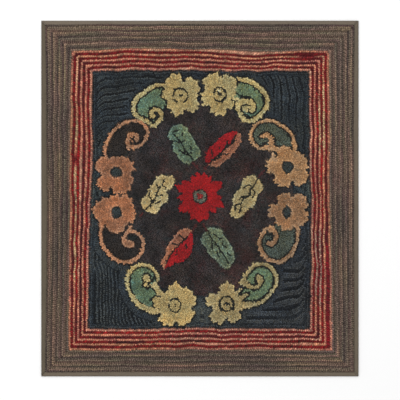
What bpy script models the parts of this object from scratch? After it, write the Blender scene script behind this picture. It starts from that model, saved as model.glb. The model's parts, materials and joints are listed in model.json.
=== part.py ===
"""A hooked rug: a wool pile hooked in rows through a cloth foundation, its edge bound with tape.

The rug lies flat. +Z is up, +X is to the right and +Y to the top of the design.
The origin is at the middle of the rug's underside. All sizes are in metres.
"""

import math

import bmesh
import bpy

MM = 0.001

# Driving dimensions
RUG_WIDTH = 910 * MM
RUG_LENGTH = 1020 * MM
PILE_TOP = 9.5 * MM
GAP = 0.3 * MM

# The foundation cloth, which reaches into the binding
FOUNDATION_LOW = 1.5 * MM
FOUNDATION_HIGH = 3.3 * MM
FOUNDATION_INSET = 3.0 * MM

# The binding tape, folded round the edge
TAPE = 1.2 * MM
FOLD_RADIUS = 2.4 * MM
BACK_LEAF = 18.0 * MM
FRONT_LEAF_PUFF = 0.35 * MM
FRONT_LIP_DROP = 0.2 * MM
MITRE_CUT = 0.25 * MM

# The hooked rows. Each is a rounded rib that runs right round the rug and is mitred at its corners.
BORDER_ROWS = 14
TAN_EVERY = 3
STRIPE_ROWS = 9
GROUND_ROWS = 4
GROUND_ROW_WIDTH = 5.6 * MM
ROW_GROOVE = 1.5 * MM
ROW_CREST = (0.28, 0.72)
ROW_WANDER = 0.45 * MM
WANDER_WAVES = (3, 5)
EDGE_ROUND = 2.4 * MM

# The straight rows of the ground outside the wreath. They lie across in two corners and upright in two.
CORNER_ROW_WIDTH = 5.5 * MM
CORNER_ROWS_ACROSS = 38
CORNER_ROWS_UPRIGHT = 34
CORNER_ROW_STEPS = 3
CORNER_ROW_GAP = 0.8 * MM
CORNER_ROW_STOP = 45 * MM
CORNER_ROW_DROP = 0.2 * MM

# The smoother pile of the wreath and the medallion
MEDALLION_RINGS = 7
MEDALLION_LARGEST = 0.96
MEDALLION_SMALLEST = 0.08
MEDALLION_DROP = 0.7 * MM
MEDALLION_LUMP = 0.4 * MM
LUMP_LENGTHS = (195 * MM, 232 * MM)

SIDE_STEPS = 10
SIDES = ("top", "right", "bottom", "left")

# How far each frame line lies in from the rug's edge, in mm, at five places along its side.
# Top and bottom run left to right, and left and right run top to bottom.
# "pile" is where the loops begin, "stripe" where the red stripes do and "ground" where the dark ground does.
FRAME_LINES = {
    "top": {
        "pile": (12.5, 11.0, 10.6, 11.0, 12.5),
        "stripe": (86.4, 79.9, 82.4, 87.9, 85.9),
        "ground": (143.9, 140.9, 141.4, 142.9, 143.9),
    },
    "right": {
        "pile": (12.5, 14.6, 14.0, 13.6, 12.5),
        "stripe": (84.1, 83.1, 82.1, 78.1, 75.1),
        "ground": (140.1, 139.1, 135.1, 134.6, 138.1),
    },
    "bottom": {
        "pile": (12.5, 12.9, 13.2, 12.8, 12.5),
        "stripe": (74.1, 74.6, 75.6, 77.1, 74.1),
        "ground": (135.1, 135.6, 136.6, 137.6, 134.1),
    },
    "left": {
        "pile": (12.5, 16.0, 16.8, 15.8, 12.5),
        "stripe": (86.9, 82.9, 81.9, 78.9, 77.9),
        "ground": (145.9, 145.4, 141.4, 135.9, 132.9),
    },
}

# Colour, and roughness, of each wool and of the tape
COLOURS = {
    "taupe_wool": (0.073, 0.050, 0.037),
    "tan_wool": (0.147, 0.105, 0.080),
    "peach_wool": (0.38, 0.165, 0.112),
    "red_wool": (0.105, 0.017, 0.014),
    "teal_wool": (0.030, 0.037, 0.040),
    "brown_wool": (0.034, 0.026, 0.026),
    "olive_tape": (0.150, 0.122, 0.088),
}
WOOL_ROUGHNESS = 0.95
TAPE_ROUGHNESS = 0.85


def clear_scene():
    for obj in list(bpy.data.objects):
        bpy.data.objects.remove(obj)


def wool(name, roughness=WOOL_ROUGHNESS):
    """A plain cloth material in one of the rug's colours."""
    material = bpy.data.materials.new(name)
    material.use_nodes = True
    shader = material.node_tree.nodes["Principled BSDF"]
    shader.inputs["Base Color"].default_value = (*COLOURS[name], 1.0)
    shader.inputs["Roughness"].default_value = roughness
    shader.inputs["Metallic"].default_value = 0.0
    return material


def eased(values, share):
    """The value at a share of the way along a side, easing from each place in the table to the next."""
    place = min(max(share, 0.0), 1.0) * (len(values) - 1)
    step = min(int(place), len(values) - 2)
    part = place - step
    part = part * part * (3 - 2 * part)
    return values[step] * (1 - part) + values[step + 1] * part


def line_inset(side, line, share):
    return eased(FRAME_LINES[side][line], share) * MM


def row_inset(side, row, share):
    """How far in from the edge a place lies that is counted in rows, 0 being where the loops begin."""
    pile = line_inset(side, "pile", share)
    stripe = line_inset(side, "stripe", share)
    ground = line_inset(side, "ground", share)
    if row <= BORDER_ROWS:
        inset = pile + (stripe - pile) * row / BORDER_ROWS
    elif row <= BORDER_ROWS + STRIPE_ROWS:
        inset = stripe + (ground - stripe) * (row - BORDER_ROWS) / STRIPE_ROWS
    else:
        inset = ground + (row - BORDER_ROWS - STRIPE_ROWS) * GROUND_ROW_WIDTH
    return inset + wander(side, row, share)


def wander(side, row, share):
    """The small hand-made drift of a row, which dies out at the corners and at the edge."""
    phase = 1.9 * SIDES.index(side) + 0.55 * row
    slow, quick = (math.tau * share * count for count in WANDER_WAVES)
    waves = math.sin(slow + phase) + 0.6 * math.sin(quick - 1.7 * phase)
    hold = math.sin(math.pi * share) * min(row / 2, 1)
    return ROW_WANDER * waves * hold


def place_on_side(side, inset_at, share):
    """The point at a share of the way along a side of a line that runs round the rug."""
    half_width = RUG_WIDTH / 2
    half_length = RUG_LENGTH / 2
    end = {"top": 0.0, "left": 0.0, "bottom": 1.0, "right": 1.0}[side]
    if side in ("top", "bottom"):
        low = -half_width + inset_at("left", end)
        high = half_width - inset_at("right", end)
        out = half_length - inset_at(side, share)
        return low + (high - low) * share, out if side == "top" else -out
    high = half_length - inset_at("top", end)
    low = -half_length + inset_at("bottom", end)
    out = half_width - inset_at(side, share)
    return out if side == "right" else -out, high + (low - high) * share


def ring(inset_at):
    """The points of one line right round the rug, clockwise from its top left corner."""
    points = []
    for side in SIDES:
        for step in range(SIDE_STEPS):
            share = step / SIDE_STEPS
            if side in ("bottom", "left"):
                share = 1 - share
            points.append(place_on_side(side, inset_at, share))
    return points


def lump(x, y):
    """The unevenness of the pile inside the wreath."""
    across, along = LUMP_LENGTHS
    return MEDALLION_LUMP * math.sin(math.tau * x / across + 0.8) * math.cos(math.tau * y / along - 0.4)


def at_height(points, z):
    return [(x, y, z) for x, y in points]


def underside_rings():
    """Rings from the flat underside, out under the edge of the foundation cloth and up its edge."""
    rings = []
    for inset, z in (
        (BACK_LEAF + GAP, 0.0),
        (BACK_LEAF + GAP, FOUNDATION_LOW),
        (FOUNDATION_INSET, FOUNDATION_LOW),
        (FOUNDATION_INSET, FOUNDATION_HIGH),
    ):
        rings.append(at_height(ring(lambda side, share, at=inset: at), z))
    return rings


def pile_rings():
    """Rings up the pile's edge and over its ribs, each with the row that it closes."""
    rings = []
    for z in (FOUNDATION_HIGH, PILE_TOP - EDGE_ROUND):
        rings.append((at_height(ring(lambda side, share: row_inset(side, 0, share) + GAP), z), 0))
    for row in range(BORDER_ROWS + STRIPE_ROWS + GROUND_ROWS):
        for place, z in (
            (row + ROW_CREST[0], PILE_TOP),
            (row + ROW_CREST[1], PILE_TOP),
            (row + 1, PILE_TOP - ROW_GROOVE),
        ):
            rings.append((at_height(ring(lambda side, share, at=place: row_inset(side, at, share)), z), row))
    return rings


def field_box():
    """The half width and half length of the field inside the last framing row."""
    last_row = BORDER_ROWS + STRIPE_ROWS + GROUND_ROWS
    shares = [step / SIDE_STEPS for step in range(SIDE_STEPS + 1)]
    deepest = {side: max(row_inset(side, last_row, share) for share in shares) for side in SIDES}
    half_width = RUG_WIDTH / 2 - max(deepest["left"], deepest["right"]) - CORNER_ROW_GAP
    half_length = RUG_LENGTH / 2 - max(deepest["top"], deepest["bottom"]) - CORNER_ROW_GAP
    return half_width, half_length


def corner_rows(bm, right, up, across, material):
    """The ribs of one corner of the ground. Each runs from the frame to the oval that the wreath fills."""
    half_width, half_length = field_box()
    rows = CORNER_ROWS_ACROSS if across else CORNER_ROWS_UPRIGHT
    lines = rows * 3
    made = bmesh.ops.create_grid(bm, x_segments=lines, y_segments=CORNER_ROW_STEPS, size=0.5)["verts"]
    half_along, half_over = (half_width, half_length) if across else (half_length, half_width)
    for vert in made:
        row, line = divmod(round((vert.co.x + 0.5) * lines), 3)
        over = half_over - (row + (0.0, *ROW_CREST)[line]) * CORNER_ROW_WIDTH
        oval = half_along * math.sqrt(max(1 - (over / half_over) ** 2, 0.0))
        along = half_along + (max(oval, CORNER_ROW_STOP) - half_along) * (vert.co.y + 0.5)
        z = PILE_TOP - (CORNER_ROW_DROP if line else ROW_GROOVE)
        vert.co = (right * along, up * over, z) if across else (right * over, up * along, z)
    for face in {face for vert in made for face in vert.link_faces}:
        face.material_index = material


def medallion_rings():
    """Rings of the oval inside the corner rows, each smaller than the last."""
    half_width, half_length = field_box()
    rings = []
    for step in range(MEDALLION_RINGS):
        share = MEDALLION_LARGEST + (MEDALLION_SMALLEST - MEDALLION_LARGEST) * step / (MEDALLION_RINGS - 1)
        places = []
        for turn in range(4 * SIDE_STEPS):
            angle = math.tau * turn / (4 * SIDE_STEPS)
            x = share * half_width * math.cos(angle)
            y = share * half_length * math.sin(angle)
            places.append((x, y, PILE_TOP - MEDALLION_DROP + lump(x, y)))
        rings.append(places)
    return rings


def start_ring(bm, places):
    """The first closed line of edges of a mesh that is grown ring by ring."""
    number = bm.verts.layers.int.get("number") or bm.verts.layers.int.new("number")
    verts = [bm.verts.new(place) for place in places]
    for count, vert in enumerate(verts):
        vert[number] = count
    return [bm.edges.new((verts[count - 1], verts[count])) for count in range(len(verts))]


def grow_ring(bm, rim, places, material=0):
    """Extrudes the open rim of the mesh to the next ring, and gives the new faces their material."""
    number = bm.verts.layers.int["number"]
    made = bmesh.ops.extrude_edge_only(bm, edges=rim)["geom"]
    for vert in (part for part in made if isinstance(part, bmesh.types.BMVert)):
        vert.co = places[vert[number]]
    for face in (part for part in made if isinstance(part, bmesh.types.BMFace)):
        face.material_index = material
    return [part for part in made if isinstance(part, bmesh.types.BMEdge) and part.is_boundary]


def close_ring(bm, rim, material=0):
    bmesh.ops.contextual_create(bm, geom=rim, mat_nr=material)


def row_wool(row):
    """The wool of a row, counted from the rug's edge."""
    if row < BORDER_ROWS:
        return "tan_wool" if row % TAN_EVERY == TAN_EVERY - 1 else "taupe_wool"
    if row < BORDER_ROWS + STRIPE_ROWS:
        return "red_wool" if (row - BORDER_ROWS) % 2 else "peach_wool"
    return "teal_wool"


def hooked_pile(collection):
    """The rug itself: one piece of foundation cloth with every row of loops hooked through it."""
    wools = list(COLOURS)
    taupe, teal, brown = (wools.index(name) for name in ("taupe_wool", "teal_wool", "brown_wool"))
    bm = bmesh.new()
    under = underside_rings()
    rim = start_ring(bm, under[0])
    close_ring(bm, rim, taupe)
    for places in under[1:]:
        rim = grow_ring(bm, rim, places, taupe)
    for places, row in pile_rings():
        rim = grow_ring(bm, rim, places, wools.index(row_wool(row)))
    middle = medallion_rings()
    rim = start_ring(bm, middle[0])
    for places in middle[1:]:
        rim = grow_ring(bm, rim, places, brown)
    close_ring(bm, rim, brown)
    corner_rows(bm, -1, 1, True, teal)
    corner_rows(bm, 1, 1, False, teal)
    corner_rows(bm, 1, -1, True, teal)
    corner_rows(bm, -1, -1, False, teal)
    open_edges = [edge for edge in bm.edges if edge.is_boundary]
    fill = bmesh.ops.triangle_fill(bm, edges=open_edges, use_beauty=True, normal=(0, 0, 1))["geom"]
    for face in (part for part in fill if isinstance(part, bmesh.types.BMFace)):
        face.material_index = teal
    add_object(collection, "hooked_pile", bm, [wool(name) for name in wools])


def tape_profile(side, share):
    """The folded tape's section at a place along its side, as points of (inset from the edge, height)."""
    lip = row_inset(side, 0, share) - GAP
    height = 2 * FOLD_RADIUS
    inner = FOLD_RADIUS - TAPE
    turns = [math.radians(90 + 45 * step) for step in range(5)]
    bends = [(math.cos(turn), math.sin(turn)) for turn in turns]
    outer_fold = [(FOLD_RADIUS + FOLD_RADIUS * x, FOLD_RADIUS + FOLD_RADIUS * z) for x, z in bends]
    inner_fold = [(FOLD_RADIUS + inner * x, FOLD_RADIUS + inner * z) for x, z in bends]
    front = [(lip, height - FRONT_LIP_DROP), ((lip + FOLD_RADIUS) / 2, height + FRONT_LEAF_PUFF)]
    back = [(BACK_LEAF, 0.0), (BACK_LEAF, TAPE)]
    return front + outer_fold + back + inner_fold[::-1] + [(lip, height - TAPE)]


def tape_places(side, share):
    """The tape's section set in its place on the rug, with its ends drawn back to the mitre."""
    along_x = side in ("top", "bottom")
    half_along = (RUG_WIDTH if along_x else RUG_LENGTH) / 2
    half_out = (RUG_LENGTH if along_x else RUG_WIDTH) / 2
    outwards = 1 if side in ("top", "right") else -1
    places = []
    for inset, z in tape_profile(side, share):
        along = (half_along - inset - MITRE_CUT) * (2 * share - 1)
        out = outwards * (half_out - inset)
        places.append((along, out, z) if along_x else (out, -along, z))
    return places


def binding_tape(collection, side):
    """One length of tape, folded over an edge of the rug and mitred at both of its ends."""
    bm = bmesh.new()
    rim = start_ring(bm, tape_places(side, 0.0))
    close_ring(bm, rim)
    for step in range(1, SIDE_STEPS + 1):
        rim = grow_ring(bm, rim, tape_places(side, step / SIDE_STEPS))
    close_ring(bm, rim)
    add_object(collection, f"binding_{side}", bm, [wool("olive_tape", TAPE_ROUGHNESS)])


def add_object(collection, name, bm, materials):
    bmesh.ops.triangulate(bm, faces=[face for face in bm.faces if len(face.verts) > 4])
    bmesh.ops.recalc_face_normals(bm, faces=bm.faces)
    mesh = bpy.data.meshes.new(name)
    bm.to_mesh(mesh)
    bm.free()
    for material in materials:
        mesh.materials.append(material)
    mesh.shade_smooth()
    mesh.set_sharp_from_angle(angle=math.radians(60))
    collection.objects.link(bpy.data.objects.new(name, mesh))


def build():
    clear_scene()
    collection = bpy.data.collections.new("hooked_rug")
    bpy.context.scene.collection.children.link(collection)
    hooked_pile(collection)
    for side in SIDES:
        binding_tape(collection, side)


build()
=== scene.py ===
import math
import bmesh
import bpy
import numpy as np
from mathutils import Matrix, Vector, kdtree
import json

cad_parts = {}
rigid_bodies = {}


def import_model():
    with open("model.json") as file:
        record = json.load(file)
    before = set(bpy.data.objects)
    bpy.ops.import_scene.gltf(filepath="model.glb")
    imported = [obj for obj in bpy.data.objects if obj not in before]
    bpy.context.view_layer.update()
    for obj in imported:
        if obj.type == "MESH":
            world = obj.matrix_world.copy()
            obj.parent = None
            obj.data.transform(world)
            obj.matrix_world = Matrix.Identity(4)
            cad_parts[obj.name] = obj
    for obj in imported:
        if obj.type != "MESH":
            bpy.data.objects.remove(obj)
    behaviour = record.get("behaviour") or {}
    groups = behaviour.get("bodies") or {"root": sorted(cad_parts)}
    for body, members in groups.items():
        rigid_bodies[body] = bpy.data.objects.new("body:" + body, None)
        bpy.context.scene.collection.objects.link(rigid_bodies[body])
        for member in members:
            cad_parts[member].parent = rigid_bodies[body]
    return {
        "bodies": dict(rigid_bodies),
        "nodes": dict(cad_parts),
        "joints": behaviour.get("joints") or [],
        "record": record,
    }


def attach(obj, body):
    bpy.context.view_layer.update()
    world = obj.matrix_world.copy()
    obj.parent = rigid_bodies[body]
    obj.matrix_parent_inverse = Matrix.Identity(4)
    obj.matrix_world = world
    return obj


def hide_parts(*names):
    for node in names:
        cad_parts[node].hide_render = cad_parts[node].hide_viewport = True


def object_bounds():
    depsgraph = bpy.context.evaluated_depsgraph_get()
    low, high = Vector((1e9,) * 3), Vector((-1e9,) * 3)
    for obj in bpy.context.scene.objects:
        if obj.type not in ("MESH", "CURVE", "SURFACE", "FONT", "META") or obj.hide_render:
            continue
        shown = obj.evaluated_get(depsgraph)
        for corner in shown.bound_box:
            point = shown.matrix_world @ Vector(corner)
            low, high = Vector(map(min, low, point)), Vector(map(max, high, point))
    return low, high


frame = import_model()
cadLow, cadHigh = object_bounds()
print("frame loaded:", ", ".join(frame["nodes"]))

# the rug's values below are in millimetres, those of the view, the light and the floor in metres
mm = 0.001

view = {"middle": (0.00035, -0.0043), "height": 6.0, "across": 1.146, "sensor": 36.0, "clipEnd": 60.0}
light = {"world": 0.82, "key": 65.0, "keyPlace": (-1.6, 1.9, 3.4), "keySize": 2.6}
flooring = {"half": 20.0, "parts": 4, "colour": (0.96, 0.96, 0.96), "roughness": 0.9, "specular": 0.1}


def addObject(name, data):
    thing = bpy.data.objects.new(name, data)
    bpy.context.scene.collection.objects.link(thing)
    return thing


def makeCamera():
    data = bpy.data.cameras.new("camera")
    data.sensor_width = view["sensor"]
    data.lens = view["sensor"] * view["height"] / view["across"]
    data.clip_end = view["clipEnd"]
    camera = addObject("camera", data)
    camera.location = (*view["middle"], view["height"] + cadHigh.z)
    bpy.context.scene.camera = camera


def makeFloor():
    bm = bmesh.new()
    parts = flooring["parts"]
    bmesh.ops.create_grid(bm, x_segments=parts, y_segments=parts, size=flooring["half"])
    mesh = bpy.data.meshes.new("floor")
    bm.to_mesh(mesh)
    bm.free()
    material = bpy.data.materials.new("floorPaint")
    material.use_nodes = True
    inputs = material.node_tree.nodes["Principled BSDF"].inputs
    inputs["Base Color"].default_value = (*flooring["colour"], 1)
    inputs["Roughness"].default_value = flooring["roughness"]
    inputs["Specular IOR Level"].default_value = flooring["specular"]
    mesh.materials.append(material)
    floor = addObject("floor", mesh)
    return floor


def makeLight():
    world = bpy.data.worlds.new("studio")
    world.use_nodes = True
    world.node_tree.nodes["Background"].inputs["Color"].default_value = (1, 1, 1, 1)
    world.node_tree.nodes["Background"].inputs["Strength"].default_value = light["world"]
    bpy.context.scene.world = world
    lamp = bpy.data.lights.new("keyLight", "AREA")
    lamp.energy = light["key"]
    lamp.size = light["keySize"]
    key = addObject("keyLight", lamp)
    key.location = light["keyPlace"]
    aim = math.atan2(math.hypot(key.location.x, key.location.y), key.location.z)
    turn = math.atan2(key.location.y, key.location.x) + math.pi / 2
    key.rotation_euler = (aim, 0, turn)
    key.visible_camera = False
    bpy.context.scene.view_settings.view_transform = "Standard"


makeCamera()
floor = makeFloor()
makeLight()
print("camera, floor and light made")


def smoothStep(part):
    return part * part * (3 - 2 * part)


def smoothNoise(x, y, length, seed):
    # value noise in -1..1, one knot every length millimetres
    knots, offset = 128, 40.0
    table = np.random.default_rng(seed).uniform(-1, 1, (knots, knots))
    u, v = x / length + offset, y / length + offset
    i, j = np.floor(u).astype(int), np.floor(v).astype(int)
    fu, fv = smoothStep(u - i), smoothStep(v - j)
    i, j = i % (knots - 1), j % (knots - 1)
    a = table[i, j] * (1 - fu) + table[i + 1, j] * fu
    b = table[i, j + 1] * (1 - fu) + table[i + 1, j + 1] * fu
    return a * (1 - fv) + b * fv


# how long the waves of each noise are, and its seed
noises = {"wool": (26, 21), "strip": (95, 22), "fade": (48, 27), "maroon": (34, 23), "maroonFine": (12, 24),
          "teal": (30, 25), "warm": (40, 26), "rowSlow": (130, 32), "rowQuick": (55, 31), "bunch": (45, 34),
          "level": (90, 41), "bed": (20, 51), "tape": (30, 72), "tapeFine": (9, 73), "drift": (58, 5),
          "driftFine": (23, 6), "sway": (95, 11), "swayFine": (36, 12)}


def noise(name, x, y):
    return smoothNoise(x, y, *noises[name])


rug = {"width": 910.0, "length": 1020.0, "borderRows": 14, "stripeRows": 9, "rowWander": 2.3}
halfWidth, halfLength = rug["width"] / 2, rug["length"] / 2
allRows = rug["borderRows"] + rug["stripeRows"]
sideNames = ("top", "right", "bottom", "left")

# where the pile, the stripes and the ground begin on each side, in from the edge, at five places along it
frameLines = {
    "top": {"pile": (12.5, 11.0, 10.6, 11.0, 12.5), "stripe": (86.4, 79.9, 82.4, 87.9, 85.9),
            "ground": (143.9, 140.9, 141.4, 142.9, 143.9)},
    "right": {"pile": (12.5, 14.6, 14.0, 13.6, 12.5), "stripe": (84.1, 83.1, 82.1, 78.1, 75.1),
              "ground": (140.1, 139.1, 135.1, 134.6, 138.1)},
    "bottom": {"pile": (12.5, 12.9, 13.2, 12.8, 12.5), "stripe": (74.1, 74.6, 75.6, 77.1, 74.1),
               "ground": (135.1, 135.6, 136.6, 137.6, 134.1)},
    "left": {"pile": (12.5, 16.0, 16.8, 15.8, 12.5), "stripe": (86.9, 82.9, 81.9, 78.9, 77.9),
             "ground": (145.9, 145.4, 141.4, 135.9, 132.9)},
}

# the stripes are not all equally wide
stripeWidths = (2.4, 2.5, 2.2, 2.3, 2.2, 2.4, 2.3, 2.35, 2.05)
stripeShares = np.concatenate([[0], np.cumsum(stripeWidths)]) / sum(stripeWidths)

# places where a line and those inside it are pushed in: the side, the line, how far along, how long, how deep
swells = (("top", 15, 0.665, 0.12, 4.5), ("top", 15, 0.92, 0.05, -2.0), ("top", 16, 0.92, 0.05, 5.0),
          ("right", 15, 0.81, 0.22, -1.8), ("right", 16, 0.80, 0.26, 4.4), ("bottom", 16, 0.93, 0.05, -1.2),
          ("bottom", 17, 0.94, 0.05, 4.4))

# the rows drift, and neighbours drift together: the noise, how much of it, its step from row to row
rowDrift = (("drift", 1.0, 11), ("driftFine", 0.45, 9))
noiseRun = {"side": 900, "apart": 1700}


def eased(values, share):
    place = np.clip(share, 0, 1) * (len(values) - 1)
    step = np.minimum(place.astype(int), len(values) - 2)
    part = smoothStep(place - step)
    table = np.array(values)
    return table[step] * (1 - part) + table[step + 1] * part


def noisePlace(side, share):
    # a place for the noise along a side, far from those of the other sides
    return share * noiseRun["side"] + noiseRun["apart"] * sideNames.index(side)


def rowInset(side, row, share):
    # how far in from the edge a place lies that is counted in rows, 0 where the loops begin
    share = np.asarray(share, float)
    pile, stripe, ground = (eased(frameLines[side][line], share) for line in ("pile", "stripe", "ground"))
    border = rug["borderRows"]
    if row <= border:
        inset = pile + (stripe - pile) * row / border
    else:
        stripes = range(rug["stripeRows"] + 1)
        inset = stripe + (ground - stripe) * np.interp(row - border, stripes, stripeShares)
    for where, line, middle, long, deep in swells:
        if side == where:
            fade = np.interp(row, (line - 1, line, allRows), (0, 1, 0))
            inset = inset + deep * fade * np.exp(-((share - middle) / long) ** 4)
    at = noisePlace(side, share)
    drift = sum(gain * noise(name, at, at * 0 + row * step) for name, gain, step in rowDrift)
    wander = rug["rowWander"] * np.interp(row, (0, 3, border, border + 3), (0.35, 1, 1.1, 1.3))
    return inset + wander * drift * np.sqrt(np.sin(math.pi * np.clip(share, 0, 1)))


def placeOnSide(side, row, share):
    # the point at a share of the way along a row, left to right or top to bottom
    end = 0.0 if side in ("top", "left") else 1.0
    if side in ("top", "bottom"):
        low = rowInset("left", row, end) - halfWidth
        high = halfWidth - rowInset("right", row, end)
        out = halfLength - rowInset(side, row, share)
        return low + (high - low) * share, out if side == "top" else -out
    high = halfLength - rowInset("top", row, end)
    low = rowInset("bottom", row, end) - halfLength
    out = halfWidth - rowInset(side, row, share)
    return (out if side == "right" else -out), high + (low - high) * share


# places and sizes are from the rug's middle, angles are degrees
# a petal: the way it points, its reach, half its spread, its teeth, how much shorter it is at its sides
flowers = {
    "creamTopLeft": {
        "middle": (-57, 296), "wool": "cream", "notch": 41, "toothDepth": 6,
        "petals": [(112, 67, 29, 3, 0), (40, 65, 33, 3, 0), (0, 53, 14, 1, 0), (-39, 65, 25, 3, 2),
                   (-102, 65, 27, 3, 14), (-136, 53, 15, 1, 0), (178, 55, 22, 1, 0), (150, 54, 14, 1, 0)]},
    "creamTopRight": {
        "middle": (55, 298), "wool": "cream", "notch": 44, "toothDepth": 6,
        "petals": [(118, 68, 30, 3, 0), (86, 52, 8, 1, 0), (51, 65, 33, 3, 0), (8, 50, 16, 1, 0),
                   (-35, 56, 25, 2, 0), (-86, 64, 24, 2, 8), (-113, 56, 14, 1, 0), (-165, 57, 27, 3, 0)]},
    "creamBottomLeft": {
        "middle": (-73, -305), "wool": "cream", "notch": 47, "toothDepth": 6,
        "petals": [(87, 70, 28, 3, 17), (30, 66, 36, 4, 0), (-48, 66, 36, 3, 0), (-118, 66, 28, 3, 0),
                   (165, 67, 12, 1, 0), (181, 62, 11, 1, 0), (200, 54, 10, 1, 0)]},
    "creamBottomRight": {
        "middle": (76, -301), "wool": "cream", "notch": 41, "toothDepth": 6,
        "petals": [(89, 65, 29, 3, 8), (47, 62, 9, 1, 8), (24, 70, 12, 1, 20), (-5, 56, 18, 1, 0),
                   (-60, 59, 25, 2, 0), (-125, 67, 28, 3, 2), (166, 64, 27, 3, 6)]},
    "peachLeftUpper": {
        "middle": (-241, 76), "wool": "peachLeft", "notch": 43, "toothDepth": 4,
        "petals": [(152, 65, 28, 3, 0), (100, 48, 40, 3, 0), (30, 55, 30, 3, 0), (66, 52, 12, 1, 0),
                   (-28, 57, 15, 1, 0), (-60, 66, 21, 2, 0), (-89, 61, 16, 2, 0), (-136, 67, 25, 2, 0)]},
    "peachLeftLower": {
        "middle": (-241, -39), "wool": "peachLeft", "notch": 46, "toothDepth": 5,
        "petals": [(172, 70, 50, 5, 12), (106, 52, 30, 3, 0), (50, 59, 22, 2, 0), (15, 56, 18, 2, 0),
                   (-18, 59, 20, 3, 0), (-90, 61, 32, 3, 0), (-140, 60, 24, 1, 0)]},
    "peachRightUpper": {
        "middle": (249, 90), "wool": "peachRight", "notch": 43, "toothDepth": 6,
        "petals": [(177, 61, 23, 3, 0), (145, 56, 16, 2, 0), (100, 64, 30, 3, 0), (62, 60, 22, 2, 0),
                   (20, 64, 28, 3, 0), (-7, 58, 12, 2, 0), (-37, 69, 30, 3, 0), (-108, 60, 32, 3, 0)]},
    "peachRightLower": {
        "middle": (248, -39), "wool": "peachRight", "notch": 37, "toothDepth": 6,
        "petals": [(100, 59, 26, 3, 0), (70, 46, 10, 1, 0), (38, 70, 30, 3, 0), (7, 53, 12, 1, 0),
                   (-20, 65, 28, 3, 0),
                   (-52, 57, 14, 1, 0), (-90, 56, 26, 2, 0), (-128, 47, 22, 1, 0), (173, 55, 28, 3, 0)]},
    "redMiddle": {
        "middle": (0, 7), "wool": "redBright", "notch": 48, "toothDepth": 8,
        "petals": [(87, 69, 36, 4, 2), (33, 75, 20, 1, 9), (-5, 63, 15, 1, 3), (-22, 73, 16, 1, 8),
                   (-46, 65, 14, 1, 6), (-92, 74, 31, 3, 0), (-126, 56, 12, 1, 0), (-146, 75, 18, 1, 11),
                   (-177, 65, 15, 1, 6), (157, 77, 15, 1, 13), (140, 69, 16, 1, 8)]},
}

# the petals' roundness, and how sharp their teeth are
petalShape = {"crown": 3.2, "round": 0.45, "tooth": 0.85}

# the flowers' centres, all from the flower's middle: rings in arcs, then marks with their wool and half width
centres = {
    "creamTopLeft": {
        "ring": (20.4, 20.4), "half": 2.4, "arcs": ((-62, 18), (28, 96), (104, 186), (212, 216), (236, 240)),
        "marks": [("vein", 3.2, (-3, 1), (1, -1), (5, 2))]},
    "creamTopRight": {
        "ring": (17.8, 20.6), "half": 2.8, "arcs": ((12, 100), (112, 172), (208, 232), (240, 356)),
        "marks": [("vein", 3.4, (-4, 5), (0, 3), (3, 2)), ("bright", 2.0, (-3, 11), (1, 11))],
        "shift": (0.3, 0.5)},
    "creamBottomLeft": {
        "ring": (16.6, 19.2), "half": 1.9, "arcs": ((-8, 52), (66, 138), (168, 190), (212, 262), (282, 330)),
        "turn": 8, "marks": [("vein", 2.2, (0, 2), (1, -4))]},
    "creamBottomRight": {
        "ring": (20.2, 21.4), "half": 2.9, "arcs": ((0, 360),),
        "marks": [("vein", 2.2, (-8, -3), (-4, 1), (1, 0), (5, 0), (8, -4))]},
}

# the peach flowers' holes: half across and half up; their corners: how far out, how many, where, how sharp
holes = {
    "peachLeftUpper": {"shift": (0.5, -0.5), "half": (17, 16)},
    "peachLeftLower": {"shift": (0.8, -0.6), "half": (16, 16.6)},
    "peachRightUpper": {"shift": (1.5, 1), "half": (16.5, 17.2), "rim": 0.98, "corner": (0.22, 1.5, 0.5, 6)},
    "peachRightLower": {"shift": (0.5, 0), "half": (14, 18.5), "rim": 0.93, "corner": (0.1, 2, 0, 4)},
}
redCentre = {"shift": (-0.4, -0.4), "rings": ((21.2, "vein"), (18.4, "sageRing"), (9.4, "redEye"))}

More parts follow.
